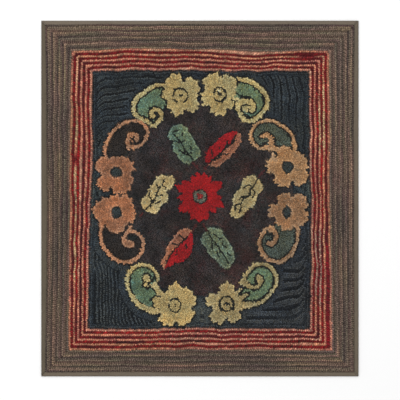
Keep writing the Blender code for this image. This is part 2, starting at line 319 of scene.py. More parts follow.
# a lobe: its share of the way from base to tip, half its length as a share, its reach
leaves = {
    "sageUpper": {
        "base": (-26, 109), "tip": (-72, 204), "wools": ("sageLeaf", "sageLeaf"),
        "left": [(0.18, 0.22, 28), (0.48, 0.22, 33), (0.84, 0.20, 28)],
        "right": [(0.17, 0.21, 36), (0.48, 0.26, 34), (0.80, 0.24, 29)],
        "veins": [[(-22, 113), (-33, 127), (-44, 142), (-54, 158), (-64, 172), (-79, 189)],
                  [(-27, 131), (-27, 146), (-30, 153)], [(-38, 125), (-48, 129), (-58, 137)],
                  [(-78, 191), (-64, 196)], [(-50, 189), (-50, 182)], [(-74, 166), (-60, 160)],
                  [(-54, 160), (-46, 166)]]},
    "twoWoolUpper": {
        "base": (30, 104), "tip": (106, 186), "wools": ("leafRed", "leafPeach"),
        "left": [(0.25, 0.30, 30), (0.60, 0.34, 29), (0.88, 0.14, 17)],
        "right": [(0.15, 0.20, 25), (0.45, 0.30, 30), (0.76, 0.27, 27)],
        "veins": [[(101, 180), (90, 161), (71, 144), (57, 128), (39, 113), (27, 100)],
                  [(56, 142), (55, 150)], [(34, 120), (34, 137)], [(72, 144), (80, 166)],
                  [(88, 160), (103, 166)], [(60, 126), (78, 128)], [(39, 111), (55, 117)]]},
    "creamRight": {
        "base": (94, -48), "tip": (157, 59), "wools": ("creamLeaf", "creamLeaf"),
        "left": [(0.16, 0.18, 14), (0.45, 0.24, 28), (0.80, 0.22, 27)],
        "right": [(0.18, 0.19, 25), (0.50, 0.26, 37), (0.83, 0.18, 35)],
        "veins": [[(167, 61), (156, 42), (144, 27), (141, 11), (124, -2), (116, -14), (117, -26)],
                  [(148, 38), (134, 37), (126, 31)], [(133, 8), (118, 5), (111, -2)],
                  [(151, 24), (157, 17), (148, 2)], [(114, -16), (103, -18), (100, -29)],
                  [(116, -29), (110, -41)]]},
    "sageLower": {
        "base": (26, -99), "tip": (81, -192), "wools": ("sageLeafPale", "sageLeafPale"),
        "left": [(0.14, 0.24, 34), (0.45, 0.26, 34), (0.72, 0.24, 33), (0.90, 0.12, 20)],
        "right": [(0.14, 0.22, 33), (0.46, 0.22, 32), (0.78, 0.25, 21)],
        "veins": [[(23, -96), (31, -110), (39, -123), (51, -135), (57, -149), (67, -161), (76, -176),
                   (80, -182)],
                  [(39, -102), (59, -115)], [(33, -121), (35, -145)], [(63, -133), (76, -139)],
                  [(78, -155), (87, -164)], [(49, -155), (55, -170)]]},
    "twoWoolLower": {
        "base": (-29, -95), "tip": (-98, -195), "wools": ("leafRed", "leafPeach"),
        "left": [(0.20, 0.20, 21), (0.48, 0.30, 37), (0.82, 0.18, 14)],
        "right": [(0.20, 0.22, 29), (0.50, 0.28, 31), (0.86, 0.18, 22)],
        "veins": [[(-36, -106), (-45, -117), (-62, -133), (-80, -154), (-92, -170), (-97, -184)],
                  [(-60, -105), (-50, -112), (-45, -117)], [(-78, -127), (-70, -132), (-62, -132)],
                  [(-40, -129), (-40, -141)], [(-66, -146), (-68, -160)]]},
    "creamLeft": {
        "base": (-152, -29), "tip": (-87, 63), "wools": ("creamLeaf", "creamLeaf"),
        "left": [(0.15, 0.20, 28), (0.45, 0.20, 29), (0.74, 0.22, 30)],
        "right": [(0.17, 0.20, 31), (0.45, 0.20, 34), (0.84, 0.20, 22)],
        "veins": [[(-157, -33), (-138, -12), (-128, 2), (-122, 25), (-124, 41)],
                  [(-137, -11), (-144, 5), (-145, 21)], [(-127, 5), (-108, 11)], [(-129, -16), (-114, -6)],
                  [(-122, 24), (-115, 34)], [(-104, 54), (-109, 40), (-98, 31)]]},
}
lobeShape = {"stretch": 1.12, "flank": 2.2, "round": 0.6, "blend": 4}
veinHalf = {"middle": 2.0, "side": 1.7}

stems = [[(-20, 104), (-5, 87)], [(24, 100), (14, 87)], [(-11, -74), (-22, -95)], [(8, -72), (20, -91)],
         [(181, 78), (166, 62)], [(-165, -42), (-172, -49)]]
stemHalf = 3.2

# each scroll is a spiral that winds in from a flower's edge; a stroke: half its width, then its places
scrolls = {
    "creamTopLeft": {
        "middle": (-129, 245), "start": 4, "sweep": 531, "radii": (85, 10), "power": 3.4, "squash": 1.2,
        "tilt": 65,
        "half": 5.9, "outline": 4, "flowerEdge": 5,
        "dents": [(0.08, 0.03, 7), (0.21, 0.06, -8), (0.27, 0.03, 2), (0.36, 0.03, -8)],
        "dark": [(3.8, (-130, 247), (-123, 239), (-131, 227), (-145, 228))],
        "thick": [(7.5, (-139, 238), (-137, 236))]},
    "creamTopRight": {
        "middle": (134, 264), "start": 105, "sweep": -515, "radii": (87, 18), "power": 2.4, "squash": 0.95,
        "tilt": 5,
        "half": 6.2, "outline": 4, "flowerEdge": 0,
        "dents": [(0.09, 0.05, 5), (0.26, 0.05, 4), (0.37, 0.03, -4), (0.48, 0.04, 4)],
        "thick": [(8.6, (115, 273), (130, 278), (144, 273), (151, 263)), (8.0, (107, 274), (113, 262)),
                  (4.5, (104, 290), (112, 284), (122, 280)),
                  (10.4, (129, 259), (134, 258))],
        "cut": [(2.2, (121, 267), (133, 270), (143, 267)), (2.0, (103, 347), (106, 338), (105, 328)),
                (2.2, (117, 262), (120, 258), (119, 251), (126, 245), (136, 238)),
                (1.9, (140, 256), (140, 249), (150, 245)),
                (2.2, (102, 303), (111, 298), (118, 293), (130, 288), (141, 291)),
                (1.9, (89, 285), (93, 282), (98, 279), (99, 272), (96, 265), (99, 256), (103, 249))]},
    "creamBottomLeft": {
        "middle": (-144, -233), "start": -130, "sweep": -270, "radii": (85, 20), "power": 1.3, "squash": 1.2,
        "tilt": 40,
        "half": 5.0, "outline": 4, "flowerEdge": 5,
        "dents": [(0.02, 0.08, 3)],
        "back": [(-131, -245), (-128, -258), (-120, -273), (-123, -313)],
        "dark": [(14.8, (-154, -226), (-153, -231)), (7.6, (-158, -246), (-145, -248)),
                 (2.2, (-134, -222), (-135, -236))],
        "thick": [(10.6, (-154, -227), (-153, -230)), (4.6, (-156, -247), (-142, -250)),
                  (8.0, (-129, -244), (-125, -258), (-114, -273)),
                  (8.0, (-127, -322), (-150, -316), (-170, -308)),
                  (6.6, (-170, -308), (-184, -295), (-192, -283))],
        "cut": [(2.2, (-159, -240), (-148, -238), (-136, -238)),
                (1.5, (-148, -247), (-143, -248), (-144, -253)),
                (2.2, (-163, -252), (-152, -256), (-141, -257), (-132, -264), (-126, -273))]},
    "creamBottomRight": {
        "middle": (160, -231), "start": -30, "sweep": 500, "radii": (68, 9), "power": 1.25, "squash": 1.1,
        "tilt": -55,
        "half": 5.0, "outline": 5, "flowerEdge": 5,
        "dents": [(0.08, 0.05, 5), (0.20, 0.05, 2), (0.33, 0.05, 3), (0.43, 0.05, 7)],
        "dark": [(4.6, (119, -260), (131, -262)), (2.4, (158, -230), (157, -240), (163, -246))],
        "thick": [(9.4, (121, -238), (130, -242)), (7.0, (125, -241), (141, -250)),
                  (9.4, (171, -228), (173, -235)),
                  (5.0, (160, -303), (126, -311))],
        "sage": [(4.4, (125, -262), (137, -264), (148, -270))]},
    "peachLeftUpper": {
        "middle": (-191, 172), "start": -100, "sweep": -605, "radii": (71, 10), "power": 2.4, "squash": 1.25,
        "tilt": -50,
        "dents": [(0.0, 0.05, -6)],
        "half": 4.9,
        "thick": [(3.4, (-211, 148), (-205, 141)), (4.0, (-208, 182), (-191, 187), (-182, 176)),
                  (4.6, (-185, 171), (-194, 162)), (6.0, (-197, 172), (-190, 168))],
        "cut": [(1.7, (-199, 175), (-195, 168)), (1.7, (-194, 173), (-187, 166)),
                (2.2, (-200, 163), (-197, 156), (-187, 160))]},
    "peachLeftLower": {
        "middle": (-202, -121), "start": 155, "sweep": 505, "radii": (92, 15), "power": 2.3, "squash": 1.05,
        "tilt": -5,
        "half": 5.2, "dents": [(0.12, 0.05, 4)], "dark": [(7.0, (-204, -111), (-188, -111))],
        "thick": [(4.2, (-215, -98), (-206, -89), (-201, -82)), (4.6, (-209, -98), (-199, -91), (-191, -97)),
                  (9.4, (-213, -127), (-198, -131))],
        "cut": [(1.9, (-273, -75), (-273, -83)), (1.7, (-274, -95), (-274, -107))]},
    "peachRightUpper": {
        "middle": (188, 170), "start": 0, "sweep": 525, "radii": (88, 15), "power": 2.1, "squash": 0.9,
        "tilt": -20,
        "half": 4.6, "outline": 4, "dents": [(0.12, 0.05, 5)],
        "thick": [(7.4, (182, 178), (193, 182), (203, 172)), (7.2, (187, 146), (204, 148)),
                  (8.0, (202, 161), (209, 147), (220, 138)), (7.0, (267, 164), (272, 148)),
                  (6.5, (234, 144), (250, 142), (263, 137))],
        "cut": [(3.4, (179, 155), (189, 161)), (2.6, (211, 170), (215, 152), (227, 150))]},
    "peachRightLower": {
        "middle": (202, -113), "start": 15, "sweep": -505, "radii": (83, 14), "power": 2.7, "squash": 1.3,
        "tilt": 5,
        "half": 5.4, "outline": 4, "dents": [(0.44, 0.05, 5)],
        "thick": [(10.0, (202, -88), (205, -86)), (8.0, (199, -128), (207, -128)),
                  (5.0, (213, -92), (216, -107), (214, -121))],
        "cut": [(2.6, (185, -103), (201, -102), (209, -111)), (2.4, (190, -119), (205, -118))]},
}

# small marks on the upper right peach flower
hooks = {
    "pale": [(4.6, (209, 129), (209, 119), (216, 111))],
    "dark": [(2.0, (210, 135), (217, 132), (220, 125), (215, 120)),
             (1.9, (257, 152), (260, 146), (264, 140))],
}

# the brown oval that the wreath lies on, its waves, and the dark cells round the motifs on it
medallion = {"middle": (2, -1), "half": (258, 280), "waveTall": 278, "halo": 4,
             "waves": ((0.022, 5, 0.6), (0.018, 9, 2))}

# colour as the eye sees it, 0 to 255; how much one loop differs from the next, and one patch from the next
wools = {
    "ground": ((46, 51, 54), 0.10, 0.08),
    "medallion": ((52, 46, 45), 0.13, 0.15),
    "halo": ((42, 44, 45), 0.13, 0.06),
    "outline": ((33, 37, 35), 0.12, 0.05),
    "sage": ((99, 118, 92), 0.11, 0.08),
    "darkBrown": ((47, 42, 39), 0.12, 0.10),
    "greyGreen": ((81, 88, 77), 0.08, 0.08),
    "cream": ((176, 155, 107), 0.08, 0.06),
    "creamLeaf": ((179, 159, 112), 0.08, 0.07),
    "peachLeft": ((160, 106, 76), 0.09, 0.09),
    "peachRight": ((168, 124, 88), 0.09, 0.07),
    "redBright": ((147, 24, 28), 0.07, 0.05),
    "sageLeaf": ((94, 112, 90), 0.12, 0.12),
    "sageLeafPale": ((100, 114, 93), 0.13, 0.12),
    "leafRed": ((144, 26, 30), 0.09, 0.08),
    "leafPeach": ((143, 94, 71), 0.10, 0.10),
    "vein": ((38, 41, 38), 0.12, 0.05),
    "hole": ((58, 66, 66), 0.08, 0.06),
    "sageRing": ((108, 110, 95), 0.08, 0.06),
    "redEye": ((146, 48, 44), 0.22, 0.06),
    "stem": ((77, 39, 39), 0.10, 0.05),
    "bright": ((196, 186, 146), 0.06, 0.04),
    "peachPale": ((166, 132, 98), 0.06, 0.04),
}
number = {name: at for at, name in enumerate(wools)}
brightWools = ("cream", "creamLeaf", "peachLeft", "peachRight", "redBright", "leafRed", "leafPeach",
               "sageLeaf", "sageLeafPale", "bright", "peachPale", "sage")


def isOne(wool, *names):
    return np.isin(wool, [number[name] for name in names])


# the chart has one cell a millimetre: the drawing's shift, its ragged edges, the part that a motif can reach
chart = {"left": -326, "low": -378, "wide": 652, "tall": 756, "shiftX": 0.9, "shiftY": -0.9, "ragged": 1.9,
         "raggedWaves": ((1.0, 5.6, 0), (0.4, 3.1, 5)), "raggedSeeds": (91, 92),
         "flowerWindow": 90, "centreWindow": 26, "leafWindow": 48, "scrollWindow": 16}


def polyline(points, step=1.5):
    # the points of a smooth line through a few places
    points = np.array(points, float)
    if len(points) == 2:
        t = np.linspace(0, 1, max(2, int(np.hypot(*(points[1] - points[0])) / step)))[:, None]
        return points[0] * (1 - t) + points[1] * t
    padded = np.vstack([2 * points[0] - points[1], points, 2 * points[-1] - points[-2]])
    pieces = []
    for a, b, c, d in zip(padded, padded[1:], padded[2:], padded[3:]):
        t = np.linspace(0, 1, max(3, int(np.hypot(*(c - b)) / step)))[:-1, None]
        bend, twist = 2 * a - 5 * b + 4 * c - d, 3 * b - a - 3 * c + d
        pieces.append(0.5 * (2 * b + (c - a) * t + bend * t ** 2 + twist * t ** 3))
    return np.vstack(pieces + [points[-1:]])


def turnedAbout(middle, u, v, degrees):
    c, s = math.cos(math.radians(degrees)), math.sin(math.radians(degrees))
    return np.stack([middle[0] + u * c - v * s, middle[1] + u * s + v * c], 1)


def ringLine(middle, across, tall, start, end, turn):
    angle = np.radians(np.linspace(start, end, 48))
    return turnedAbout(middle, across * np.cos(angle), tall * np.sin(angle), turn)


def spiralLine(scroll, flower):
    first, last = scroll["radii"]
    t = np.linspace(0, 1, 260)
    angle = np.radians(scroll["start"] + scroll["sweep"] * t)
    radius = last + (first - last) * (1 - t) ** scroll["power"]
    across, tall = radius * np.cos(angle), radius * scroll["squash"] * np.sin(angle)
    line = turnedAbout(scroll["middle"], across, tall, scroll["tilt"])
    inwards = np.array(scroll["middle"]) - line
    inwards /= np.hypot(*inwards.T)[:, None]
    for at, long, deep in scroll.get("dents", []):
        line += inwards * (deep * np.exp(-((t - at) / long) ** 2))[:, None]
    # the band comes out from under the flower
    lead = line[0] + (np.array(flower["middle"]) - line[0]) * np.linspace(0.5, 0.04, 12)[:, None]
    return np.vstack([lead, line])


def newChart():
    # each cell has its place, its wool, the way a band runs in radians, and whether a line is thin there
    xs = chart["left"] + 0.5 + np.arange(chart["wide"])
    ys = chart["low"] + 0.5 + np.arange(chart["tall"])
    x, y = np.meshgrid(xs, ys)
    return {"x": x, "y": y, "wool": np.zeros(x.shape, np.uint8), "flow": np.full(x.shape, np.nan),
            "thin": np.zeros(x.shape, bool)}


def window(points, reach):
    # the part of the chart round a few points
    points = np.atleast_2d(points)
    corner, size = (chart["left"], chart["low"]), (chart["wide"], chart["tall"])
    low = np.clip(np.floor(points.min(0) - reach - corner).astype(int), 0, size)
    high = np.clip(np.ceil(points.max(0) + reach - corner).astype(int), 0, size)
    return slice(low[1], high[1]), slice(low[0], high[0])


def nearestOn(line, x, y):
    # how far each cell is from a line, and which of its points is the nearest
    away = np.full(x.shape, 1e9)
    which = np.zeros(x.shape, int)
    for at, (px, py) in enumerate(line):
        d = (x - px) ** 2 + (y - py) ** 2
        closer = d < away
        away[closer] = d[closer]
        which[closer] = at
    return np.sqrt(away), which


def insideOf(polygon, x, y):
    inside = np.zeros(x.shape, bool)
    for (ax, ay), (bx, by) in zip(polygon, np.roll(polygon, -1, axis=0)):
        crosses = (ay > y) != (by > y)
        if ay != by:
            inside ^= crosses & (x < (bx - ax) * (y - ay) / (by - ay) + ax)
    return inside


# what lies between a scroll and its flower
fills = {"cream": "sage", "peachLeft": "darkBrown", "peachRight": "greyGreen"}


def paint(cells, part, hit, wool, thin=False, flow=None):
    cells["wool"][part][hit] = number[wool]
    cells["thin"][part][hit] = thin
    if flow is not None:
        cells["flow"][part][hit] = flow


def paintLine(cells, line, half, wool, thin=True):
    part = window(line, half + 2)
    away, which = nearestOn(line, cells["x"][part], cells["y"][part])
    hit = away < half
    runs = np.gradient(line, axis=0)
    turn = np.arctan2(runs[:, 1], runs[:, 0])
    paint(cells, part, hit, wool, thin, turn[which][hit])


def paintStrokes(cells, strokes, wool):
    for half, *points in strokes:
        paintLine(cells, polyline(points), half, wool, thin=wool == "outline" and half < 4)


def paintScroll(cells, scroll, flower):
    line = spiralLine(scroll, flower)
    middle = np.array(flower["middle"])
    # the fill reaches to where the spiral's inner part comes nearest to the flower
    start = int(len(line) * 0.45)
    close = start + int(np.argmin(np.hypot(*(line - middle).T)[start:]))
    polygon = np.vstack([line[:close + 1], *scroll.get("back", []), middle])
    part = window(line, chart["scrollWindow"])
    x, y = cells["x"][part], cells["y"][part]
    fill = insideOf(polygon, x, y)
    paint(cells, part, fill, fills[flower["wool"]])
    if "outline" in scroll:
        near = nearestOn(line, x, y)[0]
        paint(cells, part, fill & (near < scroll["half"] + scroll["outline"]), "outline", True)
    paintStrokes(cells, scroll.get("dark", []), "outline")
    paintStrokes(cells, scroll.get("sage", []), "sage")
    paintLine(cells, line[::2], scroll["half"], flower["wool"], thin=False)
    paintStrokes(cells, scroll.get("thick", []), flower["wool"])


def flowerReach(flower, angle):
    reach = np.full(angle.shape, float(flower["notch"]))
    for at, far, half, teeth, fall in flower["petals"]:
        across = ((angle - math.radians(at) + math.pi) % math.tau - math.pi) / math.radians(half)
        crown = np.clip(1 - np.abs(across) ** petalShape["crown"], 0, 1) ** petalShape["round"]
        bite = (np.abs(((across * 0.5 + 0.5) * teeth) % 1 - 0.5) * 2) ** petalShape["tooth"]
        far = far - fall * np.abs(across)
        petal = flower["notch"] + (far - flower["notch"]) * crown - flower["toothDepth"] * bite * (crown > 0)
        reach = np.maximum(reach, petal)
    return reach


def flowerCells(cells, flower):
    # the part of the chart round a flower, and the cells in it that its petals cover
    part = window(flower["middle"], chart["flowerWindow"])
    dx, dy = cells["x"][part] - flower["middle"][0], cells["y"][part] - flower["middle"][1]
    return part, np.hypot(dx, dy) < flowerReach(flower, np.arctan2(dy, dx))


def paintFlowerEdge(cells, scroll, flower):
    # a dark line between the fill and the flower's petals, and the scroll's own dark marks
    part, petals = flowerCells(cells, flower)
    edge = spread(petals, scroll.get("flowerEdge", 0)) & isOne(cells["wool"][part], fills[flower["wool"]])
    paint(cells, part, edge, "outline", True)
    paintStrokes(cells, scroll.get("cut", []), "outline")


def leafHalf(lobes, share):
    half = np.zeros(share.shape)
    for at, long, reach in lobes:
        flank = np.abs((share - at) / (long * lobeShape["stretch"])) ** lobeShape["flank"]
        half += (reach * np.clip(1 - flank, 0, 1) ** lobeShape["round"]) ** lobeShape["blend"]
    return half ** (1 / lobeShape["blend"])


def paintLeaf(cells, leaf):
    base, tip = np.array(leaf["base"]), np.array(leaf["tip"])
    length = math.hypot(*(tip - base))
    axis = (tip - base) / length
    part = window(np.stack([base, tip]), chart["leafWindow"])
    x, y = cells["x"][part], cells["y"][part]
    dx, dy = x - base[0], y - base[1]
    share = (dx * axis[0] + dy * axis[1]) / length
    side = -dx * axis[1] + dy * axis[0]
    left = (side >= 0) & (side < leafHalf(leaf["left"], share))
    right = (side < 0) & (-side < leafHalf(leaf["right"], share))
    # the wool changes along the middle vein
    vein = polyline(leaf["veins"][0])
    which = nearestOn(vein, x, y)[1]
    runs = np.gradient(vein, axis=0) * np.sign((vein[-1] - vein[0]) @ axis)
    onLeft = runs[which, 0] * (y - vein[which, 1]) - runs[which, 1] * (x - vein[which, 0]) > 0
    for wool, half in zip(leaf["wools"], (onLeft, ~onLeft)):
        paint(cells, part, (left | right) & half, wool, flow=np.nan)
    for at, vein in enumerate(leaf["veins"]):
        paintLine(cells, polyline(vein), veinHalf["side" if at else "middle"], "vein")


def spread(mask, reach):
    # the cells within reach of a mask, by growing it a cell at a time
    grown = mask.copy()
    for step in range(reach):
        bigger = grown.copy()
        bigger[1:] |= grown[:-1]
        bigger[:-1] |= grown[1:]
        bigger[:, 1:] |= grown[:, :-1]
        bigger[:, :-1] |= grown[:, 1:]
        grown = bigger
    return grown


def paintCentres(cells):
    for name, centre in centres.items():
        middle = np.array(flowers[name]["middle"]) + centre.get("shift", (0, 0))
        for start, end in centre["arcs"]:
            ring = ringLine(middle, *centre["ring"], start, end, centre.get("turn", 0))
            paintLine(cells, ring, centre["half"], "vein")
        for wool, half, *points in centre["marks"]:
            paintLine(cells, polyline(np.array(points) + middle), half, wool)
    for name, hole in holes.items():
        middle = np.array(flowers[name]["middle"]) + hole["shift"]
        part = window(middle, chart["centreWindow"])
        x = (cells["x"][part] - middle[0]) / hole["half"][0]
        y = (cells["y"][part] - middle[1]) / hole["half"][1]
        deep, count, start, power = hole.get("corner", (0, 1, 0, 1))
        rim = hole.get("rim", 1.0) + deep * np.cos(count * (np.arctan2(y, x) - start)) ** power
        paint(cells, part, np.hypot(x, y) < rim, "hole")
    red = np.array(flowers["redMiddle"]["middle"]) + redCentre["shift"]
    part = window(red, chart["centreWindow"])
    away = np.hypot(cells["x"][part] - red[0], cells["y"][part] - red[1])
    for reach, wool in redCentre["rings"]:
        paint(cells, part, away < reach, wool, True)


def raggedEdges(cells):
    # hooked outlines are never quite smooth
    by = []
    for seed in chart["raggedSeeds"]:
        noise = sum(gain * smoothNoise(cells["x"], cells["y"], length, seed + more)
                    for gain, length, more in chart["raggedWaves"])
        by.append(np.round(chart["ragged"] * noise).astype(int))
    rows, columns = np.mgrid[0:chart["tall"], 0:chart["wide"]]
    rows = np.clip(rows + by[1], 0, chart["tall"] - 1)
    columns = np.clip(columns + by[0], 0, chart["wide"] - 1)
    for layer in ("wool", "flow", "thin"):
        cells[layer] = cells[layer][rows, columns]


def drawChart():
    cells = newChart()
    cells["x"] -= chart["shiftX"]
    cells["y"] -= chart["shiftY"]
    x, y, wool = cells["x"], cells["y"], cells["wool"]
    (px, py), (across, tall) = medallion["middle"], medallion["half"]
    angle = np.arctan2(y / medallion["waveTall"], (x - px) / across)
    reach = 1
    for deep, count, start in medallion["waves"]:
        reach = reach + deep * np.sin(count * angle + start)
    wool[np.hypot((x - px) / across, (y - py) / tall) < reach] = number["medallion"]
    for name, scroll in scrolls.items():
        paintScroll(cells, scroll, flowers[name])
    for leaf in leaves.values():
        paintLeaf(cells, leaf)
    for flower in flowers.values():
        paint(cells, *flowerCells(cells, flower), flower["wool"], flow=np.nan)
    for name, scroll in scrolls.items():
        paintFlowerEdge(cells, scroll, flowers[name])
    motif = ~isOne(wool, "ground", "medallion")
    paintCentres(cells)
    paintStrokes(cells, hooks["pale"], "peachPale")
    paintStrokes(cells, hooks["dark"], "outline")
    wool[spread(motif, medallion["halo"]) & isOne(wool, "medallion")] = number["halo"]
    for stem in stems:
        paintLine(cells, polyline(stem), stemHalf, "stem")
    raggedEdges(cells)
    cells["x"] += chart["shiftX"]
    cells["y"] += chart["shiftY"]
    return cells


def overlap(shift, size):
    # the cells of a line that others come to lie on when it is moved, and those others
    return slice(max(shift, 0), size + min(shift, 0)), slice(max(-shift, 0), size + min(-shift, 0))


def boundaryField(wool):
    # how far each cell is from the nearest change of wool, and the way to it
    tall, wide = wool.shape
    edge = np.zeros(wool.shape, bool)
    edge[:, 1:] |= wool[:, 1:] != wool[:, :-1]
    edge[1:] |= wool[1:] != wool[:-1]
    ys, xs = np.mgrid[0:tall, 0:wide].astype(np.float32)
    nearX = np.where(edge, xs, -9999).astype(np.float32)
    nearY = np.where(edge, ys, -9999).astype(np.float32)
    best = (nearX - xs) ** 2 + (nearY - ys) ** 2
    # each cell asks others, first far ones and then its neighbours, for the nearest edge that they know of
    for jump in (64, 32, 16, 8, 4, 2, 1, 1):
        for dy in (-jump, 0, jump):
            for dx in (-jump, 0, jump):
                (toY, fromY), (toX, fromX) = overlap(dy, tall), overlap(dx, wide)
                cx, cy = nearX[fromY, fromX], nearY[fromY, fromX]
                d = (cx - xs[toY, toX]) ** 2 + (cy - ys[toY, toX]) ** 2
                closer = d < best[toY, toX]
                best[toY, toX][closer] = d[closer]
                nearX[toY, toX][closer] = cx[closer]
                nearY[toY, toX][closer] = cy[closer]
    return np.sqrt(best), np.arctan2(nearY - ys, nearX - xs)


# how the ground's rows sway, where they lie across, and how they bend where two kinds of rows meet
groundFlow = {"pitch": 5.3, "frameRows": 3, "sway": 6.0, "swayFine": 5.0, "swayAtFrame": 0.25,
              "corner": 95, "upperEnd": 20, "lowerEnd": -30, "upperBend": (26, 16), "lowerBend": (44, 11),
              "sideBend": (10, 16), "least": 0.3, "most": 0.7, "side": 140}


def frameDistances(x, y):
    # how far inside the stripes a place lies, from the left, right, top and bottom
    corner = groundFlow["side"]
    down = np.clip((halfLength - corner - y) / (rug["length"] - 2 * corner), 0, 1)
    over = np.clip((x + halfWidth - corner) / (rug["width"] - 2 * corner), 0, 1)
    sides = (("left", halfWidth + x, down), ("right", halfWidth - x, down),
             ("top", halfLength - y, over), ("bottom", halfLength + y, over))
    return [out - rowInset(side, allRows, share) for side, out, share in sides]


def rowBend(kind, away):
    deep, length = groundFlow[kind]
    return deep * np.exp(-np.clip(away, 0, 500) / length)


def groundRows(x, y):
    # the rows of the dark ground, counted from the stripes: across in two corners and upright in two
    left, right, top, bottom = frameDistances(x, y)
    edge = groundFlow["frameRows"] * groundFlow["pitch"]
    sway = sum(groundFlow[name] * noise(name, x, y) for name in ("sway", "swayFine"))
    upper, lower = y > groundFlow["corner"], y < -groundFlow["corner"]
    across = (upper & (x < groundFlow["upperEnd"])) | (lower & (x > groundFlow["lowerEnd"]))
    # rows that lie across bend towards the corner where they meet the upright ones
    side, end = np.where(x < 0, left, right), np.minimum(top, bottom)
    bent = np.where(y > 0, rowBend("upperBend", side - edge), rowBend("lowerBend", side - edge))
    level = np.where(y > 0, top, bottom) - bent
    upright = side - rowBend("sideBend", end - edge)
    depth = np.where(across, level, upright) + sway
    frame = np.min([left, right, top, bottom], axis=0) + groundFlow["swayAtFrame"] * sway
    depth = np.maximum(depth, groundFlow["least"] * depth + groundFlow["most"] * edge)
    rows = np.where(frame < edge, frame, depth) / groundFlow["pitch"]
    quarter = np.where(frame < edge, 0, 1 + (x > 0) + 2 * (y > 0))
    gy, gx = np.gradient(rows)
    return rows, quarter, np.arctan2(gy, gx)


# how light or dark each row of the ground is: the frame, the lower left and right, the upper left and right
rowTones = ((-0.40, 0.16, -0.16), (-0.62, 0.36), (-0.56, -0.30, 0.42, 0.26, 0.50), (0.34, 0.06, 0.26, -0.62),
            (0.30, 0.04, 0.32, -0.60))
# the same for the rows that echo the wreath, and how far these reach
echoTones = (-0.30, 0.02, 0.16, 0.06, 0.18, -0.54, 0.16, 0.18, 0.05)
echoReach = (0, 25, 17, 13, 12)

# rows that echo an edge, the room a loop needs, and how loops are shifted, turned and put over an edge
fieldPile = {"pitch": 4.1, "apart": 3.4, "room": 5, "fromFrame": 1.6, "looseFrom": 5, "scatterFrom": 9,
             "turnVaries": 0.3, "placeVaries": 0.45, "bandTurn": 1.1, "rim": 3.2, "rimStep": (-1.5, 0.3),
             "beyond": 1.5}

# which loops are placed first: thin lines from their edge inwards, motifs, then rows; scattered ones last
queue = {"line": -3, "inwards": 0.3, "motif": -1.5, "scatter": 1.2, "steps": 5, "shuffle": 0.19}


def cellOrder(cells, away, loose, rows, rng):
    wool, thin = cells["wool"], cells["thin"]
    inner = isOne(wool, "medallion", "halo")
    phase = np.where(loose, rows, away / fieldPile["pitch"])
    order = np.abs(phase % 1 - 0.5) * 2
    order = np.where(thin, queue["line"] - away * queue["inwards"], order)
    order = np.where(~thin & ~inner & ~isOne(wool, "ground"), order + queue["motif"], order)
    order = np.where(inner & (away > fieldPile["scatterFrom"]), queue["scatter"], order)
    return np.round(order * queue["steps"]) / queue["steps"] + rng.uniform(0, queue["shuffle"], wool.shape)


def takeCells(order, inside):
    # the cells that get a loop: one after the other, where none stands too near
    room = fieldPile["room"]
    gy, gx = np.mgrid[-room:room + 1, -room:room + 1]
    disc = np.hypot(gx, gy) < fieldPile["apart"]
    wider = chart["wide"] + 2 * room
    taken = np.ones((chart["tall"] + 2 * room, wider), bool)
    taken[room:-room, room:-room] = ~inside
    flat = taken.ravel()
    found = []
    for cell in np.argsort(order, axis=None).tolist():
        j, i = divmod(cell, chart["wide"])
        if not flat[(j + room) * wider + i + room]:
            found.append(cell)
            taken[j:j + 2 * room + 1, i:i + 2 * room + 1] |= disc
    return np.array(found)


def placeLoops(cells):
    rng = np.random.default_rng(4)
    away, towards = boundaryField(cells["wool"])
    rows, quarter, across = groundRows(cells["x"], cells["y"])
    loose = (away > np.array(echoReach)[quarter]) | (quarter == 0)
    loose &= isOne(cells["wool"], "ground") & (away > fieldPile["looseFrom"])
    order = cellOrder(cells, away, loose, rows, rng)
    inside = np.min(frameDistances(cells["x"], cells["y"]), axis=0) > fieldPile["fromFrame"]
    found = takeCells(order, inside)
    # from here on there is a value for each loop
    layers = {**cells, "away": away, "towards": towards, "rows": rows, "quarter": quarter, "across": across,
              "loose": loose}
    at = {name: layer.ravel()[found] for name, layer in layers.items()}
    # a loop is wider across its row than along it
    turn = np.where(at["loose"], at["across"], at["towards"])
    turn = np.where(np.isnan(at["flow"]), turn, at["flow"] + fieldPile["bandTurn"])
    turn = turn + rng.normal(0, fieldPile["turnVaries"], len(found))
    free = isOne(at["wool"], "medallion", "halo") & (at["away"] > fieldPile["scatterFrom"])
    turn[free] = rng.uniform(0, math.pi, free.sum())
    jitter = rng.uniform(-fieldPile["placeVaries"], fieldPile["placeVaries"], (2, len(found)))
    # what lies over the nearest edge
    wayX, wayY = np.cos(at["towards"]), np.sin(at["towards"])
    beyond = at["away"] + fieldPile["beyond"]
    toX = np.clip(at["x"] + beyond * wayX - chart["left"], 0, chart["wide"] - 1).astype(int)
    toY = np.clip(at["y"] + beyond * wayY - chart["low"], 0, chart["tall"] - 1).astype(int)
    # the bright wools stand over the dark ones at their edges
    rim = (at["away"] < fieldPile["rim"]) & isOne(at["wool"], *brightWools) & ~cells["thin"][toY, toX]
    step = np.where(rim, rng.uniform(*fieldPile["rimStep"], len(found)), 0)
    loops = {"x": at["x"] + jitter[0] + step * wayX, "y": at["y"] + jitter[1] + step * wayY, "turn": turn,
             "wool": at["wool"], "rim": rim}
    beside = cells["wool"][toY, toX]
    loops["colour"] = fieldColours(loops, at, beside, rng)
    return loops


